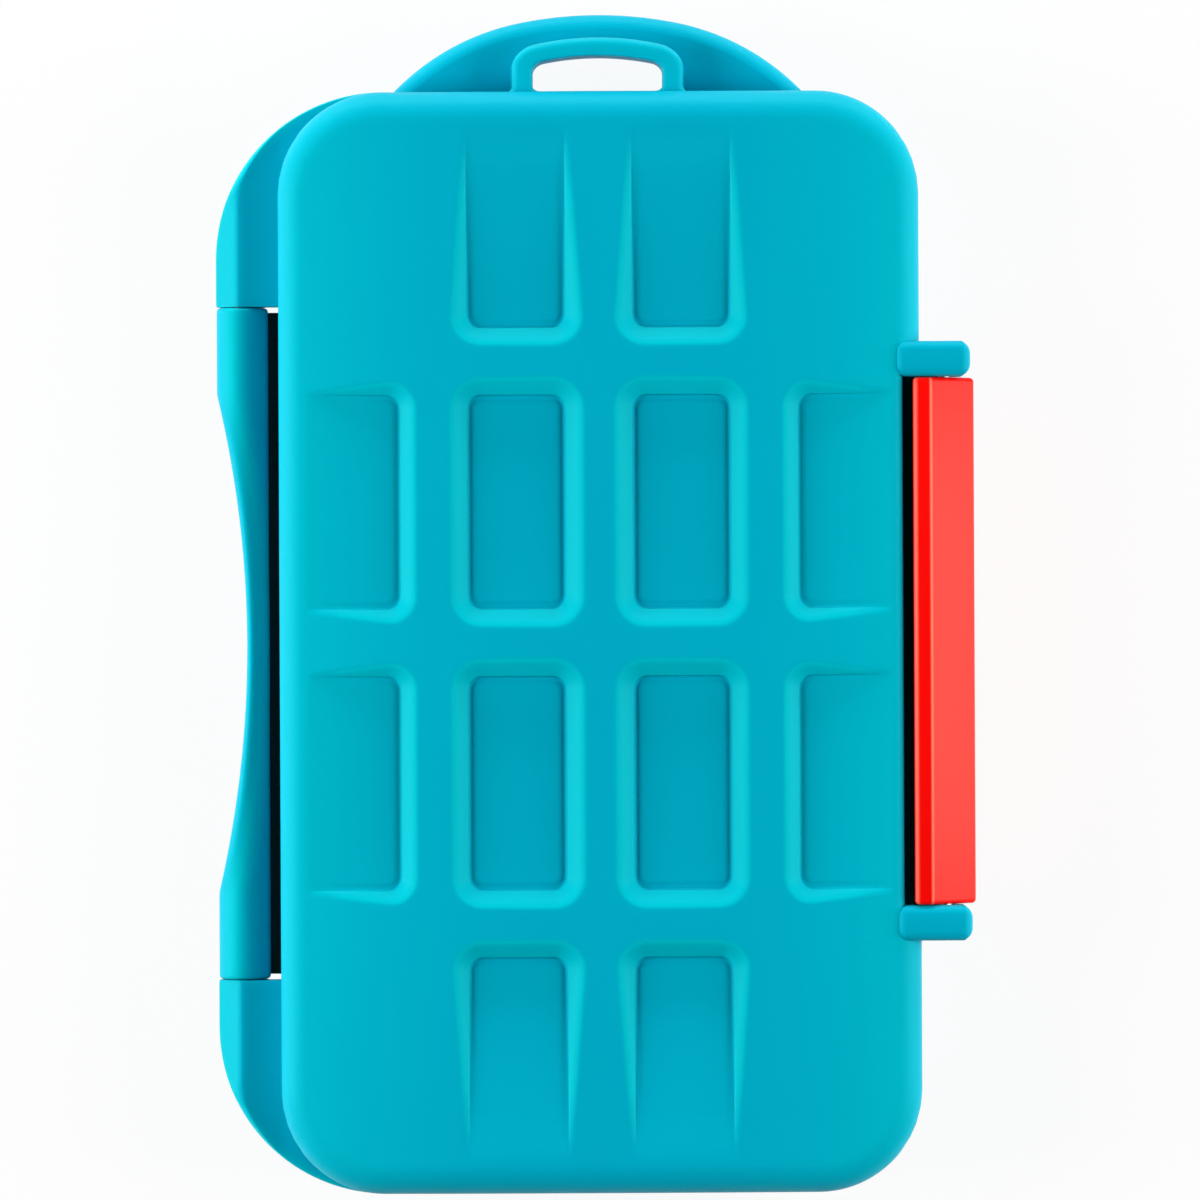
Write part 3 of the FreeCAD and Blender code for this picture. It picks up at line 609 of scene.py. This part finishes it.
# Outer face of a cover on a grid whose four corners are pressed into quarter discs.
def coverFace(crown):
    limitX = case["halfWidth"] - case["edgeRound"]
    limitY = case["halfLength"] - case["edgeRound"]
    startX = case["halfWidth"] - case["corner"]
    startY = case["halfLength"] - case["corner"]
    halfX, halfY, pitchX, pitchY = windowSizes()
    extraY = [startY, recess["halfLength"]] + windows["endLines"]
    x, y = np.meshgrid(faceLines(pitchX, halfX, windows["endX"], limitX, [startX]),
                       faceLines(pitchY, halfY, windows["endY"], limitY, extraY))
    x, y = bendCorners(x, y)
    x, y = pressCorners(x, y, startX, startY, case["corner"] - case["edgeRound"])
    fall = crownDrop(x, crown)
    drop, highlight = windowDrop(x, y, crown)
    points = np.stack([x, y, case["depth"] - fall - drop], -1)
    # painted light: the face is painted paler as it falls towards its long edges, and the window lips and
    # walls keep their painted highlight
    return highlit(points, np.maximum(highlight, windows["sideHighlight"] * fall))


# Rim sections, as distance out from the border of the face and height: a tongue on the front half and a
# groove on the rear half.
outerEdge = [(2.7, 0.22), (2.65, 0.1), (2.5, 0.05)]
innerEdge = [(-0.58, 0.05), (-0.7, 0.17), (-0.7, 7.0)]
tongue = [(1.5, 0.05), (1.45, 0.0), (1.45, -0.62), (1.32, -0.75),
          (0.68, -0.75), (0.55, -0.62), (0.55, 0.0), (0.5, 0.05)]
groove = [(1.82, 0.05), (1.75, 0.12), (1.75, 2.25), (0.25, 2.25), (0.25, 0.12), (0.18, 0.05)]
tongueRim = outerEdge + tongue + innerEdge
grooveRim = outerEdge + groove + innerEdge


# Cover shell: the face, then its border carried out and down through the rounded edge, the wall and the
# rim to the ceiling. Along the latch recess the border turns down to the recess floor and then goes out.
def coverShell(crown, rim, withRecess):
    face = coverFace(crown)
    border = gridBorder(face)
    onRight = np.abs(border[:, 0] - case["halfWidth"] + case["edgeRound"]) < tiny
    step = onRight & (np.abs(np.abs(border[:, 1]) - recess["halfLength"]) < tiny)
    if withRecess:   # the points at both ends of the recess are doubled, for its upright ends
        times = np.where(step, 2, 1)
        border = np.repeat(border, times, 0)
        onRight, step = np.repeat(onRight, times), np.repeat(step, times)
        sunk = onRight & (np.abs(border[:, 1]) < recess["halfLength"] + tiny)
        sunk[np.flatnonzero(step)[[0, 3]]] = False
    else:
        sunk = np.zeros(len(border), bool)
    out = borderNormals(border, case["halfWidth"] - case["corner"], case["halfLength"] - case["corner"])
    share = np.linspace(0, 1, 10)
    angle = share * math.pi / 2
    edge, reach, floor, small = case["edgeRound"], recess["out"], recess["floor"], recess["edge"]
    plain = np.stack([edge * np.sin(angle), edge * (np.cos(angle) - 1)], -1)
    turnDown = np.stack([reach * np.sin(angle), -recess["drop"] * share ** 2], -1)
    plainWall = [(edge, floor + 2 * small), (edge, floor + small), (edge, floor), (edge, floor - small)]
    sunkWall = [(reach, floor + 2 * small), (reach + 2 * small, floor), (edge - small, floor),
                (edge, floor - small)]
    plainWall, sunkWall = np.array(plainWall + rim), np.array(sunkWall + rim)
    upper = np.where(sunk[:, None], turnDown[:, None], plain[:, None])
    lower = np.where(sunk[:, None], sunkWall[:, None], plainWall[:, None])
    upper[..., 1] += border[:, 2]
    section = np.concatenate([upper, lower])
    flat = border[:, :2] + out * section[..., :1]
    fade = np.clip(np.linspace(1, -1, len(section)), 0, 1)[:, None]   # the painted highlight ends half way down
    return faceAndWall(face, highlit(np.concatenate([flat, section[..., 1:]], -1), fade * border[:, 3]))


tab = {
    "reach": 7.67,
    "crestRadius": 38.0,
    "crestHalf": 7.5,
    "shoulderRadius": 23.0,
    "foot": -1.7,          # heights of feet and crests are measured from the end wall
    "round": 1.5,
    "slot": {"halfWidth": 6.2, "foot": 0.1, "crest": 3.76, "arch": 25.56,
             "corners": (0.75, 0.75, 1.0, 1.0)},
    "loop": {"halfWidth": 8.125, "foot": -1.0, "crest": 5.2, "arch": 27.0,
             "corners": (0.3, 0.3, 2.1, 2.1)},
    "leastCorner": 0.05,
    "spacing": 0.3,        # of points along the slot and the loop
    "rimSpacing": 0.5,
    "slotEdge": 0.15,
    "lowEdge": 0.1,
    "loopTop": 6.2,
    "outerRound": 0.75,
    "innerRound": 0.45,
    "footFlare": 0.6,      # fillet between the loop and the end wall
    "tabFlare": 0.25,      # fillet between the loop and the tab
    "slope": 0.13,         # fall of the tab's face from its rim towards the loop
    "hiddenRise": 0.15,    # lift of the underside where it lies in the end wall
    "slotLean": 0.3,       # how far the slot's upper wall leans in from its foot to the top of the loop
    "loopHighlight": 0.15,
}


# Rounded rectangle whose top is bowed: its height above the end wall shrinks with the square of x, and
# the sides may flare out in an arc where they meet the wall.
def archLoop(shape, inset=0.0, flare=0.0):
    half, foot, crest = shape["halfWidth"] - inset, shape["foot"] + inset, shape["crest"] - inset
    corners = np.maximum(np.array(shape["corners"]) - inset, tab["leastCorner"])
    loop = roundedPolygon([(-half, foot), (half, foot), (half, crest), (-half, crest)], corners)
    loop = denser(loop, tab["spacing"])
    bow = 1 - loop[:, 0] ** 2 / (2 * (shape["arch"] - inset) * crest)
    y = np.where(loop[:, 1] > 0, loop[:, 1] * bow, loop[:, 1])
    rest = flare - np.clip(y, 0, flare)
    x = loop[:, 0] + np.sign(loop[:, 0]) * (flare - np.sqrt(flare * flare - rest * rest))
    return np.stack([x, y + case["halfLength"]], -1)


# Outline of the tab: a long arc at the crest between two tighter ones, each tangent to it.
def tabLoop(inset=0.0):
    crest, shoulder = tab["crestRadius"], tab["shoulderRadius"]
    join = math.asin(tab["crestHalf"] / crest)
    crestY = case["halfLength"] + tab["reach"] - crest
    shoulderX = (crest - shoulder) * math.sin(join)
    shoulderY = crestY + (crest - shoulder) * math.cos(join)
    crest, shoulder = crest - inset, shoulder - inset
    last = math.acos((case["halfLength"] + tab["foot"] - shoulderY) / shoulder)
    side = np.linspace(last, join, 30)
    top = np.linspace(join, -join, 24)[1:-1]
    right = np.stack([shoulderX + shoulder * np.sin(side), shoulderY + shoulder * np.cos(side)], -1)
    middle = np.stack([crest * np.sin(top), crestY + crest * np.cos(top)], -1)
    return denser(np.concatenate([right, middle, right[::-1] * [-1, 1]]), tab["rimSpacing"])


# Tab as a ring from the slot to the round outline, closed over its upper and lower sides. On the front
# half the ring first climbs over the raised cord loop.
def tabRing(withLoop):
    slot, loop = tab["slot"], tab["loop"]
    top, low, high = case["flange"], case["rim"], tab["loopTop"]
    edge, lowEdge, flare = tab["slotEdge"], tab["lowEdge"], tab["footFlare"]
    loops = [archLoop(slot, -edge), archLoop(slot)]
    heights = [low, low + edge]
    edges = len(loops)
    if withLoop:
        mouth = {**slot, "crest": slot["crest"] - tab["slotLean"]}
        inset, drop = (side[::-1] for side in quarter(tab["innerRound"], 6))
        loops += [archLoop(mouth, -a) for a in inset]
        heights += (high - drop).tolist()
        inset, drop = quarter(tab["outerRound"], 8)
        loops += [archLoop(loop, a, flare) for a in inset]
        heights += (high - drop).tolist()
        foot = len(loops)
        rise, out = quarter(tab["tabFlare"], 5)
        loops += [archLoop(loop, -a, flare) for a in out]
        heights += (top + rise).tolist()
    else:
        loops += [archLoop(slot), archLoop(slot, -edge)]
        heights += [top - edge, top]
        foot = len(loops)
    rim = len(loops)
    inset, drop = quarter(tab["round"], 9)
    loops += [tabLoop(a) for a in inset] + [tabLoop(), tabLoop(lowEdge)]
    heights += (top - drop).tolist() + [low + lowEdge, low]
    lead = [archLoop(slot), tabLoop()] + ([archLoop(loop, 0, flare)] if withLoop else [])
    centre = (0.0, case["halfLength"] + (slot["foot"] + slot["crest"]) / 2)
    flat = np.stack(matchLoops(lead + loops, centre, len(lead))[len(lead):])
    height = np.tile(np.array(heights)[:, None], flat.shape[1])
    height[foot:rim] -= tab["slope"] * np.linalg.norm(flat[rim] - flat[rim - 1], axis=1)
    height[-2:] += np.where(flat[-2:, :, 1] < case["halfLength"] - lowEdge, tab["hiddenRise"], 0)
    highlight = np.zeros((len(loops), 1))
    # painted highlight on the rounded rim of the cord loop
    highlight[edges:foot] = tab["loopHighlight"]
    return surface(highlit(lifted(flat, height), highlight), closedRows=True, closedCols=True)


ear = {
    "left": -36.53,
    "centre": (-20.53, 36.575),
    "radius": 16.0,
    "start": 32.125,
    "crest": -34.4,        # line from which the plate falls outward and, a little, towards the cover
    "flank": 0.75,         # fall for each mm outward
    "soft": 0.35,          # rounding of the crest
    "edge": 0.9,           # rounding along the corner arc
    "crestRoom": 1.2,      # the crest keeps this many edge widths from the outline
    "hidden": 1.7,         # how far the plate reaches into the wall of the cover
    "hiddenRise": 0.4,
    "hiddenShare": 0.98,   # of a line's length, at most
    "least": 0.12,         # thickness at the outline
    "lowEdge": 0.1,
    "endEdge": 0.15,
    "endScale": [0.97, 1, 0.94, 1],   # of the end face, against the section behind its edge
    "lastAngle": 70,       # of the corner arc, in degrees
    "knuckleRows": [0.0, 0.1, 0.2, 1.0],   # the knuckle's first rows, from its start
    "knuckleEdge": [0.2, 0.06],       # how far the first two are drawn in
    "knuckleTop": 0.3,
    "knuckleLeast": 0.05,  # width of its last row
    "rimHighlight": 0.45,
    "flankHighlight": 0.25,
}


# Height of an ear: it falls evenly from its crest outward and a little from there to the cover, and near
# the outline it is rounded off by a quarter circle.
def earHeight(x, inward):
    behind = x - ear["crest"]
    rib = case["flange"] + softMin(ear["flank"] * behind, np.zeros_like(x), ear["soft"])
    sink = case["dish"] * np.clip(behind / (-case["halfWidth"] - ear["crest"]), 0, 1)
    rest = np.clip(1 - inward / ear["edge"], 0, 1)
    rim = case["flange"] - ear["edge"] * (1 - np.sqrt(1 - rest * rest))
    return np.maximum(np.minimum(rib - sink, rim), case["rim"] + ear["least"])


# Ear plate: lines from a hidden path in the cover wall out to the corner arc, with one row on the crest.
def earPlate():
    centre = np.array(ear["centre"])
    steps = 44
    straight = np.linspace(ear["start"] + ear["endEdge"], centre[1], 8)[:-1]
    angle = np.linspace(math.pi, math.radians(ear["lastAngle"]), steps)
    radial = unitCircle(angle)
    side = np.stack([np.full_like(straight, ear["left"]), straight], -1)
    outer = np.concatenate([side, centre + ear["radius"] * radial])
    out = np.concatenate([np.tile([-1.0, 0.0], (len(straight), 1)), radial])
    wallX = case["halfWidth"] - ear["hidden"]
    wallY = case["halfLength"] - ear["hidden"]
    bend = case["corner"] - ear["hidden"]
    turn = np.linspace(math.pi, math.pi / 2, 24)
    arc = np.array([bend - wallX, wallY - bend]) + bend * unitCircle(turn)
    path = np.concatenate([[(-wallX, centre[1])], arc, [(outer[-1, 0], wallY)]])
    length = pathLengths(path)
    inner = pointsAt(np.linspace(0, length[-1], steps), length, path)
    inner = np.concatenate([np.stack([np.full_like(straight, -wallX), straight], -1), inner])
    low, line, lowEdge = case["rim"], ear["crest"], ear["lowEdge"]
    span = outer - inner
    reach = np.linalg.norm(span, axis=1)
    crossing = np.where(outer[:, 0] < line, (line - inner[:, 0]) / np.minimum(span[:, 0], -tiny), 1)
    crest = np.minimum(crossing, 1 - ear["crestRoom"] * ear["edge"] / reach)
    before = np.sin(np.linspace(0, math.pi / 2, 9))[:-1, None]
    beyond = (1 - np.cos(np.linspace(0, math.pi, 20)))[:, None] / 2
    share = np.concatenate([before * crest, crest + (1 - crest) * beyond])
    flat = inner + span * share[..., None]
    x = flat[..., 0]
    onArc = flat[..., 1] > centre[1]
    inward = np.where(onArc, ear["radius"] - np.linalg.norm(flat - centre, axis=-1), x - ear["left"])
    # painted highlights: a pale line along the rounded corner arc and along the crest where the flank
    # falls outward
    highlight = ear["rimHighlight"] * np.clip(1 - inward / ear["edge"], 0, 1) * onArc
    highlight = np.maximum(highlight, ear["flankHighlight"] * np.clip((line - x) / ear["soft"], 0, 1))
    wallShare = np.minimum((ear["hidden"] - lowEdge) / reach, ear["hiddenShare"])
    under = [lifted(outer, low + lowEdge), lifted(outer - out * lowEdge, low),
             lifted(inner + span * wallShare[:, None], low), lifted(inner, low + ear["hiddenRise"])]
    rows = [highlit(lifted(flat, earHeight(x, inward)), highlight), highlit(np.stack(under), 0.0)]
    points = np.concatenate(rows).transpose(1, 0, 2)
    middle = points[0].mean(0) * [1, 0, 1, 0]
    first = middle + (points[:1] - middle) * ear["endScale"]
    first[..., 1] = ear["start"]
    return surface(np.concatenate([first, points]), closedCols=True, ends=(0, -1))


# Round sections about the hinge line, each drawn in by its own amount: x and z for every row and column.
def hingeSections(shrink, steps):
    angle = np.linspace(0, 2 * math.pi, steps, endpoint=False)
    radius = case["hingeRadius"] - shrink[:, None]
    return case["hingeX"] + radius * np.cos(angle), radius * np.sin(angle)


# Knuckle under an ear: a round section along the hinge, held inside the corner arc as the arc closes in.
def earKnuckle():
    radius, axis = case["hingeRadius"], case["hingeX"]
    centre, start = ear["centre"], ear["start"]
    side = axis + radius - ear["knuckleLeast"] - centre[0]
    last = centre[1] + math.sqrt(ear["radius"] ** 2 - side ** 2)
    first = start + np.array(ear["knuckleRows"])
    y = np.concatenate([first, np.linspace(first[-1], centre[1], 4)[1:],
                        np.linspace(centre[1], last, 40)[1:]])
    shrink = np.array(ear["knuckleEdge"] + [0.0] * (len(y) - 2))
    x, z = hingeSections(shrink, 48)
    rise = np.clip(y - centre[1], 0, None)
    arc = centre[0] - np.sqrt(ear["radius"] ** 2 - rise * rise)
    depth = np.sqrt(np.clip(radius ** 2 - np.maximum(arc - axis, 0) ** 2, 0, None))
    x = np.maximum(x, arc[:, None])
    z = np.clip(z, -depth[:, None], case["rim"] + ear["knuckleTop"])
    return surface(alongY(x, y, z), closedCols=True, ends=(0, -1))


lug = {
    "inner": 25.02,
    "outer": 28.37,
    "pivot": (32.6, 6.2),
    "bore": 0.75,
    "outline": [(28.0, 0.05), (30.4, 0.05), (35.15, 4.8), (35.15, 8.8), (28.0, 8.8)],
    "radii": (0.2, 0.5, 0.8, 0.9, 0.9),
    "topRound": 0.85,
    "endRound": 1.2,
    "spacing": 0.4,
}


# Lug as a ring from its pin bore to its outline, with edges that are rounder at its two ends than on top.
def latchLug():
    turn = np.linspace(0, 2 * math.pi, 40, endpoint=False)
    pivot = np.array(lug["pivot"])
    circle = pivot + lug["bore"] * unitCircle(turn)
    outline = denser(roundedPolygon(lug["outline"], lug["radii"]), lug["spacing"])
    bore, outline = matchLoops([circle, outline], pivot, 2)
    out = loopNormals(outline)
    edge = lug["topRound"] + (lug["endRound"] - lug["topRound"]) * out[:, 0] ** 2
    inset, drop = quarter(edge, 8)
    outward = outline - out * inset[..., None]
    flat = np.concatenate([[bore, bore], outward, outward[::-1]])
    ends = np.broadcast_to(np.array([lug["inner"], lug["outer"]])[:, None], (2, len(bore)))
    y = np.concatenate([ends, lug["outer"] - drop, lug["inner"] + drop[::-1]])
    points = np.stack([flat[..., 0], y, flat[..., 1]], -1)
    return surface(points, closedRows=True, closedCols=True)


hinge = {
    "halfLength": 32.05,
    "webHalf": 31.66,
    "waistHalf": 23.865,
    "waistDepth": 2.82,
    "leastWaist": 0.02,    # where the waist is shallower the section stays round
    "edge": 2.8,           # width of the rounding along the waist
    "endRound": 0.35,
    "highlightLine": 1.6,       # the painted highlight is greatest this far in from the outer side
    "highlight": 0.5,
    "web": [(-33.2, 0.8), (-29.0, 0.8), (-29.0, 2.3), (-33.2, 2.3)],
    "webRound": 0.1,
    "webEnd": 0.05,
    "webSpacing": 2.0,
}


# Barrel: a round section along Y whose outer side is held back to a shallow arc, so that it has a waist.
def hingeBarrel():
    y, shrink = barRows(hinge["halfLength"], hinge["endRound"], 6, 120)
    waistHalf, waistDepth = hinge["waistHalf"], hinge["waistDepth"]
    bend = (waistHalf ** 2 + waistDepth ** 2) / (2 * waistDepth)
    waist = np.sqrt(bend * bend - np.minimum(np.abs(y), waistHalf) ** 2) - bend + waistDepth
    waist = waist[:, None]
    x, z = hingeSections(shrink, 72)
    held = case["hingeX"] - case["hingeRadius"] + waist
    waisted = softMax(x, held, np.minimum(hinge["edge"], waist + tiny))
    x = np.where(waist > hinge["leastWaist"], waisted, x)
    # painted light: a paler band along the barrel's outer side, where the light falls
    highlight = hinge["highlight"] * np.clip(1 - np.abs(x - held - hinge["highlightLine"]) / hinge["highlightLine"], 0, 1)
    return surface(highlit(alongY(x, y, z), highlight), closedCols=True, ends=(0, -1))


catch = {
    "section": [(29.0, 3.5), (29.0, 1.0), (30.4, 1.0), (32.0, 2.6), (32.0, 3.5)],
    "radii": (0.1, 0.1, 0.1, 0.25, 0.2),
    "halfLength": 20.0,
    "endRound": 0.3,
}

frontParts = [coverShell(case["crown"], tongueRim, True), tabRing(True)]
for part in (earPlate(), earKnuckle(), latchLug()):
    frontParts += [part, mirrored(part)]
addPiece("frontCover", placeHalf(frontParts, True), "front_half", shellTeal, "front_cover")

catchSection = roundedPolygon(catch["section"], catch["radii"], 6)
rearParts = [coverShell(0.0, grooveRim, False), tabRing(False), hingeBarrel(),
             bar(catchSection, catch["halfLength"], catch["endRound"])]
addPiece("rearCover", placeHalf(rearParts, False), "rear_half", shellTeal, "rear_cover")

# painted shade: a strip of dark rubber laid on the web between the barrel and the rear cover, where the
# hinge gap lies in shade
webSection = denser(roundedPolygon(hinge["web"], hinge["webRound"]), hinge["webSpacing"])
shadeStrip = bar(webSection, hinge["webHalf"], hinge["webEnd"])
addPiece("hingeShadeStrip", placeHalf([shadeStrip], False), "rear_half", sealRubber, "rear_cover")


# latch

latchShape = {
    "pivot": (32.6, 15.6),
    "section": [(-2.88, 2.5), (-2.88, -1.2), (0.6, -4.68), (0.6, -8.86), (-0.54, -10.0), (-0.54, -10.86),
                (0.6, -12.0), (2.6, -12.0), (3.0, -10.86), (3.0, -1.0), (-1.2, 2.5)],
    "radii": (0.5, 0.4, 0.4, 0.4, 0.4, 0.4, 0.4, 0.35, 0.4, 0.5, 0.55),
    "halfLength": 24.95,
    "endRound": 0.4,
    "highlight": (0.5, 0, 0, 0, 0, 0, 0, 0.2, 0.2, 0.2, 0.8),   # painted highlight for each corner, most on the ridge and the left edge
    "arcSteps": 9,
}
latchSection = roundedPolygon(latchShape["section"], latchShape["radii"], latchShape["arcSteps"])
latchSection = latchSection + latchShape["pivot"]
# painted highlights along the latch's corners, strongest at the middle of each rounded corner
rise = np.sin(np.linspace(0, math.pi, latchShape["arcSteps"]))
latchHighlight = (np.array(latchShape["highlight"])[:, None] * rise).ravel()
latchPart = bar(latchSection, latchShape["halfLength"], latchShape["endRound"], latchHighlight)
addPiece("latchLever", [latchPart], "latch", latchRed, "latch")


# seal and trays

seal = {
    "section": [(-0.7, 0.8), (0.7, 0.8), (0.7, 2.25), (-0.7, 2.25)],
    "radii": (0.45, 0.45, 0.1, 0.1),
    "spacing": 2.0,
}


# Closed section of the seal carried round a rounded rectangle on the middle of the rim.
def sealRing():
    shift = case["wall"] / 2
    x, y, bend = case["halfWidth"] - shift, case["halfLength"] - shift, case["corner"] - shift
    path = denser(roundedPolygon([(-x, -y), (x, -y), (x, y), (-x, y)], bend, 16), seal["spacing"])
    section = roundedPolygon(seal["section"], seal["radii"], 6)
    points = np.stack([lifted(path + loopNormals(path) * out, height) for out, height in section])
    return surface(points, closedRows=True, closedCols=True)


addPiece("rimSeal", placeHalf([sealRing()], False), "rear_half", sealRubber, "rim_seal")

tray = {
    "halfWidth": 26.85,
    "halfLength": 48.675,
    "corner": 6.25,
    "face": 1.7,
    "back": 7.0,
    "edge": 0.3,
    "wallRun": 0.2,
    "footSoft": 0.5,
    "lipSoft": 0.3,
    "gridStep": 0.9,
    "lineSlack": 0.01,     # grid lines are rounded to this
    "beside": [-0.06, 0.0, 0.05, 0.12, 0.2, 0.3],   # grid lines inward from a pocket's edge
    "fineStep": 0.3,       # across the round turns of the finger notches
    "notchCorner": 2.0,    # pockets with larger corners are finger notches
    # left, right, bottom, top, corner, depth on the right-hand side; the left-hand side mirrors them
    "pockets": [
        (0.95, 25.35, -6.425, 25.975, 0.8, 2.5), (0.95, 25.35, -43.125, -10.725, 0.8, 2.5),
        (0.9, 12.3, 30.275, 45.675, 0.8, 1.2), (14.1, 25.5, 30.275, 45.675, 0.8, 1.2),
        (7.65, 18.65, -9.625, -3.225, 2.9, 3.4), (7.65, 18.65, -46.325, -39.925, 2.9, 3.4),
        (3.6, 9.6, 27.475, 33.075, 2.5, 2.1), (16.8, 22.8, 27.475, 33.075, 2.5, 2.1),
    ],
}


# Grid lines of the tray along one axis: an even set, closer ones at both ends of every pocket, and more
# of them where a finger notch turns.
def trayLines(low, high, corner, first, limit, extra):
    beside = np.array(tray["beside"])
    turn = np.arange(0, corner.max(), tray["fineStep"])
    notch = corner > tray["notchCorner"]
    lines = [low[:, None] + beside, high[:, None] - beside,
             low[notch, None] + turn, high[notch, None] - turn]
    lines = [part.ravel() for part in lines]
    lines += [np.arange(first, limit, tray["gridStep"]), [limit] + extra]
    return np.round(np.concatenate(lines), 2)


# Tray face: sunk by the deepest pocket at each point, with steep walls and softly turned edges.
def cardTray():
    left, right, bottom, top, corner = np.array(tray["pockets"]).T[:5]
    limitX, limitY = tray["halfWidth"] - tray["edge"], tray["halfLength"] - tray["edge"]
    startX, startY = tray["halfWidth"] - tray["corner"], tray["halfLength"] - tray["corner"]
    linesX = trayLines(left, right, corner, 0, limitX, [startX])
    linesX = np.unique(np.concatenate([linesX, -linesX]))
    linesY = np.unique(trayLines(bottom, top, corner, -limitY, limitY, [startY, -startY]))
    x, y = np.meshgrid(linesX[np.abs(linesX) <= limitX + tray["lineSlack"]],
                       linesY[np.abs(linesY) <= limitY + tray["lineSlack"]])
    sunk, face = np.zeros_like(x), np.zeros_like(x)
    for left, right, bottom, top, corner, depth in tray["pockets"]:
        away = boxDistance(np.abs(x), y, left, right, bottom, top, corner)
        wall = np.clip(-away / tray["wallRun"], 0, None) * depth
        pocket = softMin(wall, face + depth, tray["footSoft"])
        sunk = np.maximum(sunk, softMax(pocket, face, tray["lipSoft"]))
    x, y = pressCorners(x, y, startX, startY, tray["corner"] - tray["edge"])
    face = np.stack([x, y, tray["face"] + sunk], -1)
    border = gridBorder(face)
    out = borderNormals(border, startX, startY)
    inset, drop = quarter(tray["edge"], 5)
    reach = np.append(tray["edge"] - inset, tray["edge"])
    height = np.append(tray["face"] + drop, tray["back"])
    wall = np.stack([lifted(border[:, :2] + out * a, b) for a, b in zip(reach, height)])
    return faceAndWall(face, wall)


trayPart = cardTray()
addPiece("frontTray", placeHalf([trayPart], True), "front_half", trayRubber, "front_card_tray")
addPiece("rearTray", placeHalf([trayPart], False), "rear_half", trayRubber, "rear_card_tray")

for name in ("upper_hinge_pin", "lower_hinge_pin", "upper_latch_pin", "lower_latch_pin"):
    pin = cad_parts[name]
    pin.data.materials.clear()
    pin.data.materials.append(pinSteel)
print("pieces ready")


# studio

studio = {
    "white": (1, 1, 1, 1),
    "floorGlow": 0.9,
    "floorGrey": (0.9, 0.9, 0.9, 1),
    "floorHalf": 4000.0,
    "floorHeight": -0.03,
    "worldLight": 0.03,
    "cameraPoint": (0.02, 4.0, 718.8),   # straight above the case
    "frameWidth": 113.3,                  # width of the picture at the front face
    "frontFace": 18.8,
    "roll": -0.27,                        # degrees
    "sensor": 36.0,
    "clip": (0.01, 100.0),                # metres
    "lampTarget": (0.0, 0.0, 10.0),
    # name, place, size, watts
    "lamps": [
        ("topLamp", (0, 450, 58), (700, 104), 2.5),
        ("leftLamp", (-450, 0, 120), (240, 700), 4.9),
        ("rightLamp", (450, 0, 120), (240, 700), 4.0),
    ],
}


# Pale floor: mostly its own white to the camera and in reflections, and for the rest a matt surface that
# takes the lamps and the shadow.
def paleFloor():
    material, start = newMaterial("paleFloor")
    path = {name: start.node("ShaderNodeLightPath", output=name)
            for name in ("Is Camera Ray", "Is Glossy Ray", "Is Transmission Ray")}
    seen = path["Is Camera Ray"] + path["Is Glossy Ray"] + path["Is Transmission Ray"]
    glow = start.node("ShaderNodeEmission", {}, {"Color": studio["white"], "Strength": 1.0})
    matt = start.node("ShaderNodeBsdfDiffuse", {}, {"Color": studio["floorGrey"]})
    factor = start.node("ShaderNodeMath", {"operation": "MULTIPLY", "use_clamp": True},
                        {0: seen, 1: studio["floorGlow"]})
    mixed = start.node("ShaderNodeMixShader", {}, {0: factor, 1: matt, 2: glow})
    start.node("ShaderNodeOutputMaterial", {}, {"Surface": mixed})
    return material


def addFloor():
    half, low = studio["floorHalf"] * mm, studio["floorHeight"] * mm
    corners = [(-half, -half, low), (half, -half, low), (half, half, low), (-half, half, low)]
    mesh = bpy.data.meshes.new("floor")
    mesh.from_pydata(corners, [], [(0, 1, 2, 3)])
    mesh.materials.append(paleFloor())
    floor = newObject("floor", mesh)


def addWorld():
    world = bpy.data.worlds.new("studio")
    world.use_nodes = True
    world.node_tree.nodes.clear()
    start = Shade(world.node_tree)
    seen = start.node("ShaderNodeLightPath", output="Is Camera Ray")
    strength = seen * (1 - studio["worldLight"]) + studio["worldLight"]
    back = start.node("ShaderNodeBackground", {}, {"Color": studio["white"], "Strength": strength})
    start.node("ShaderNodeOutputWorld", {}, {"Surface": back})
    bpy.context.scene.world = world


def addLamps():
    target = np.array(studio["lampTarget"])
    for name, place, size, watts in studio["lamps"]:
        lamp = bpy.data.lights.new(name, "AREA")
        lamp.shape = "RECTANGLE"
        lamp.size, lamp.size_y = size[0] * mm, size[1] * mm
        lamp.energy = watts
        stand = newObject(name, lamp)
        stand.location = [value * mm for value in place]
        aim = Vector((target - np.array(place)).tolist())
        stand.rotation_euler = aim.to_track_quat("-Z", "Y").to_euler()


def addCamera():
    lens = bpy.data.cameras.new("camera")
    distance = studio["cameraPoint"][2] - studio["frontFace"]
    lens.sensor_width = studio["sensor"]
    lens.lens = studio["sensor"] * distance / studio["frameWidth"]
    lens.clip_start, lens.clip_end = studio["clip"]
    camera = newObject("camera", lens)
    camera.location = [value * mm for value in studio["cameraPoint"]]
    camera.rotation_euler = (0, 0, math.radians(studio["roll"]))
    bpy.context.scene.camera = camera


addFloor()
addWorld()
addLamps()
addCamera()
bpy.context.scene.view_settings.view_transform = "Standard"
print("studio ready")
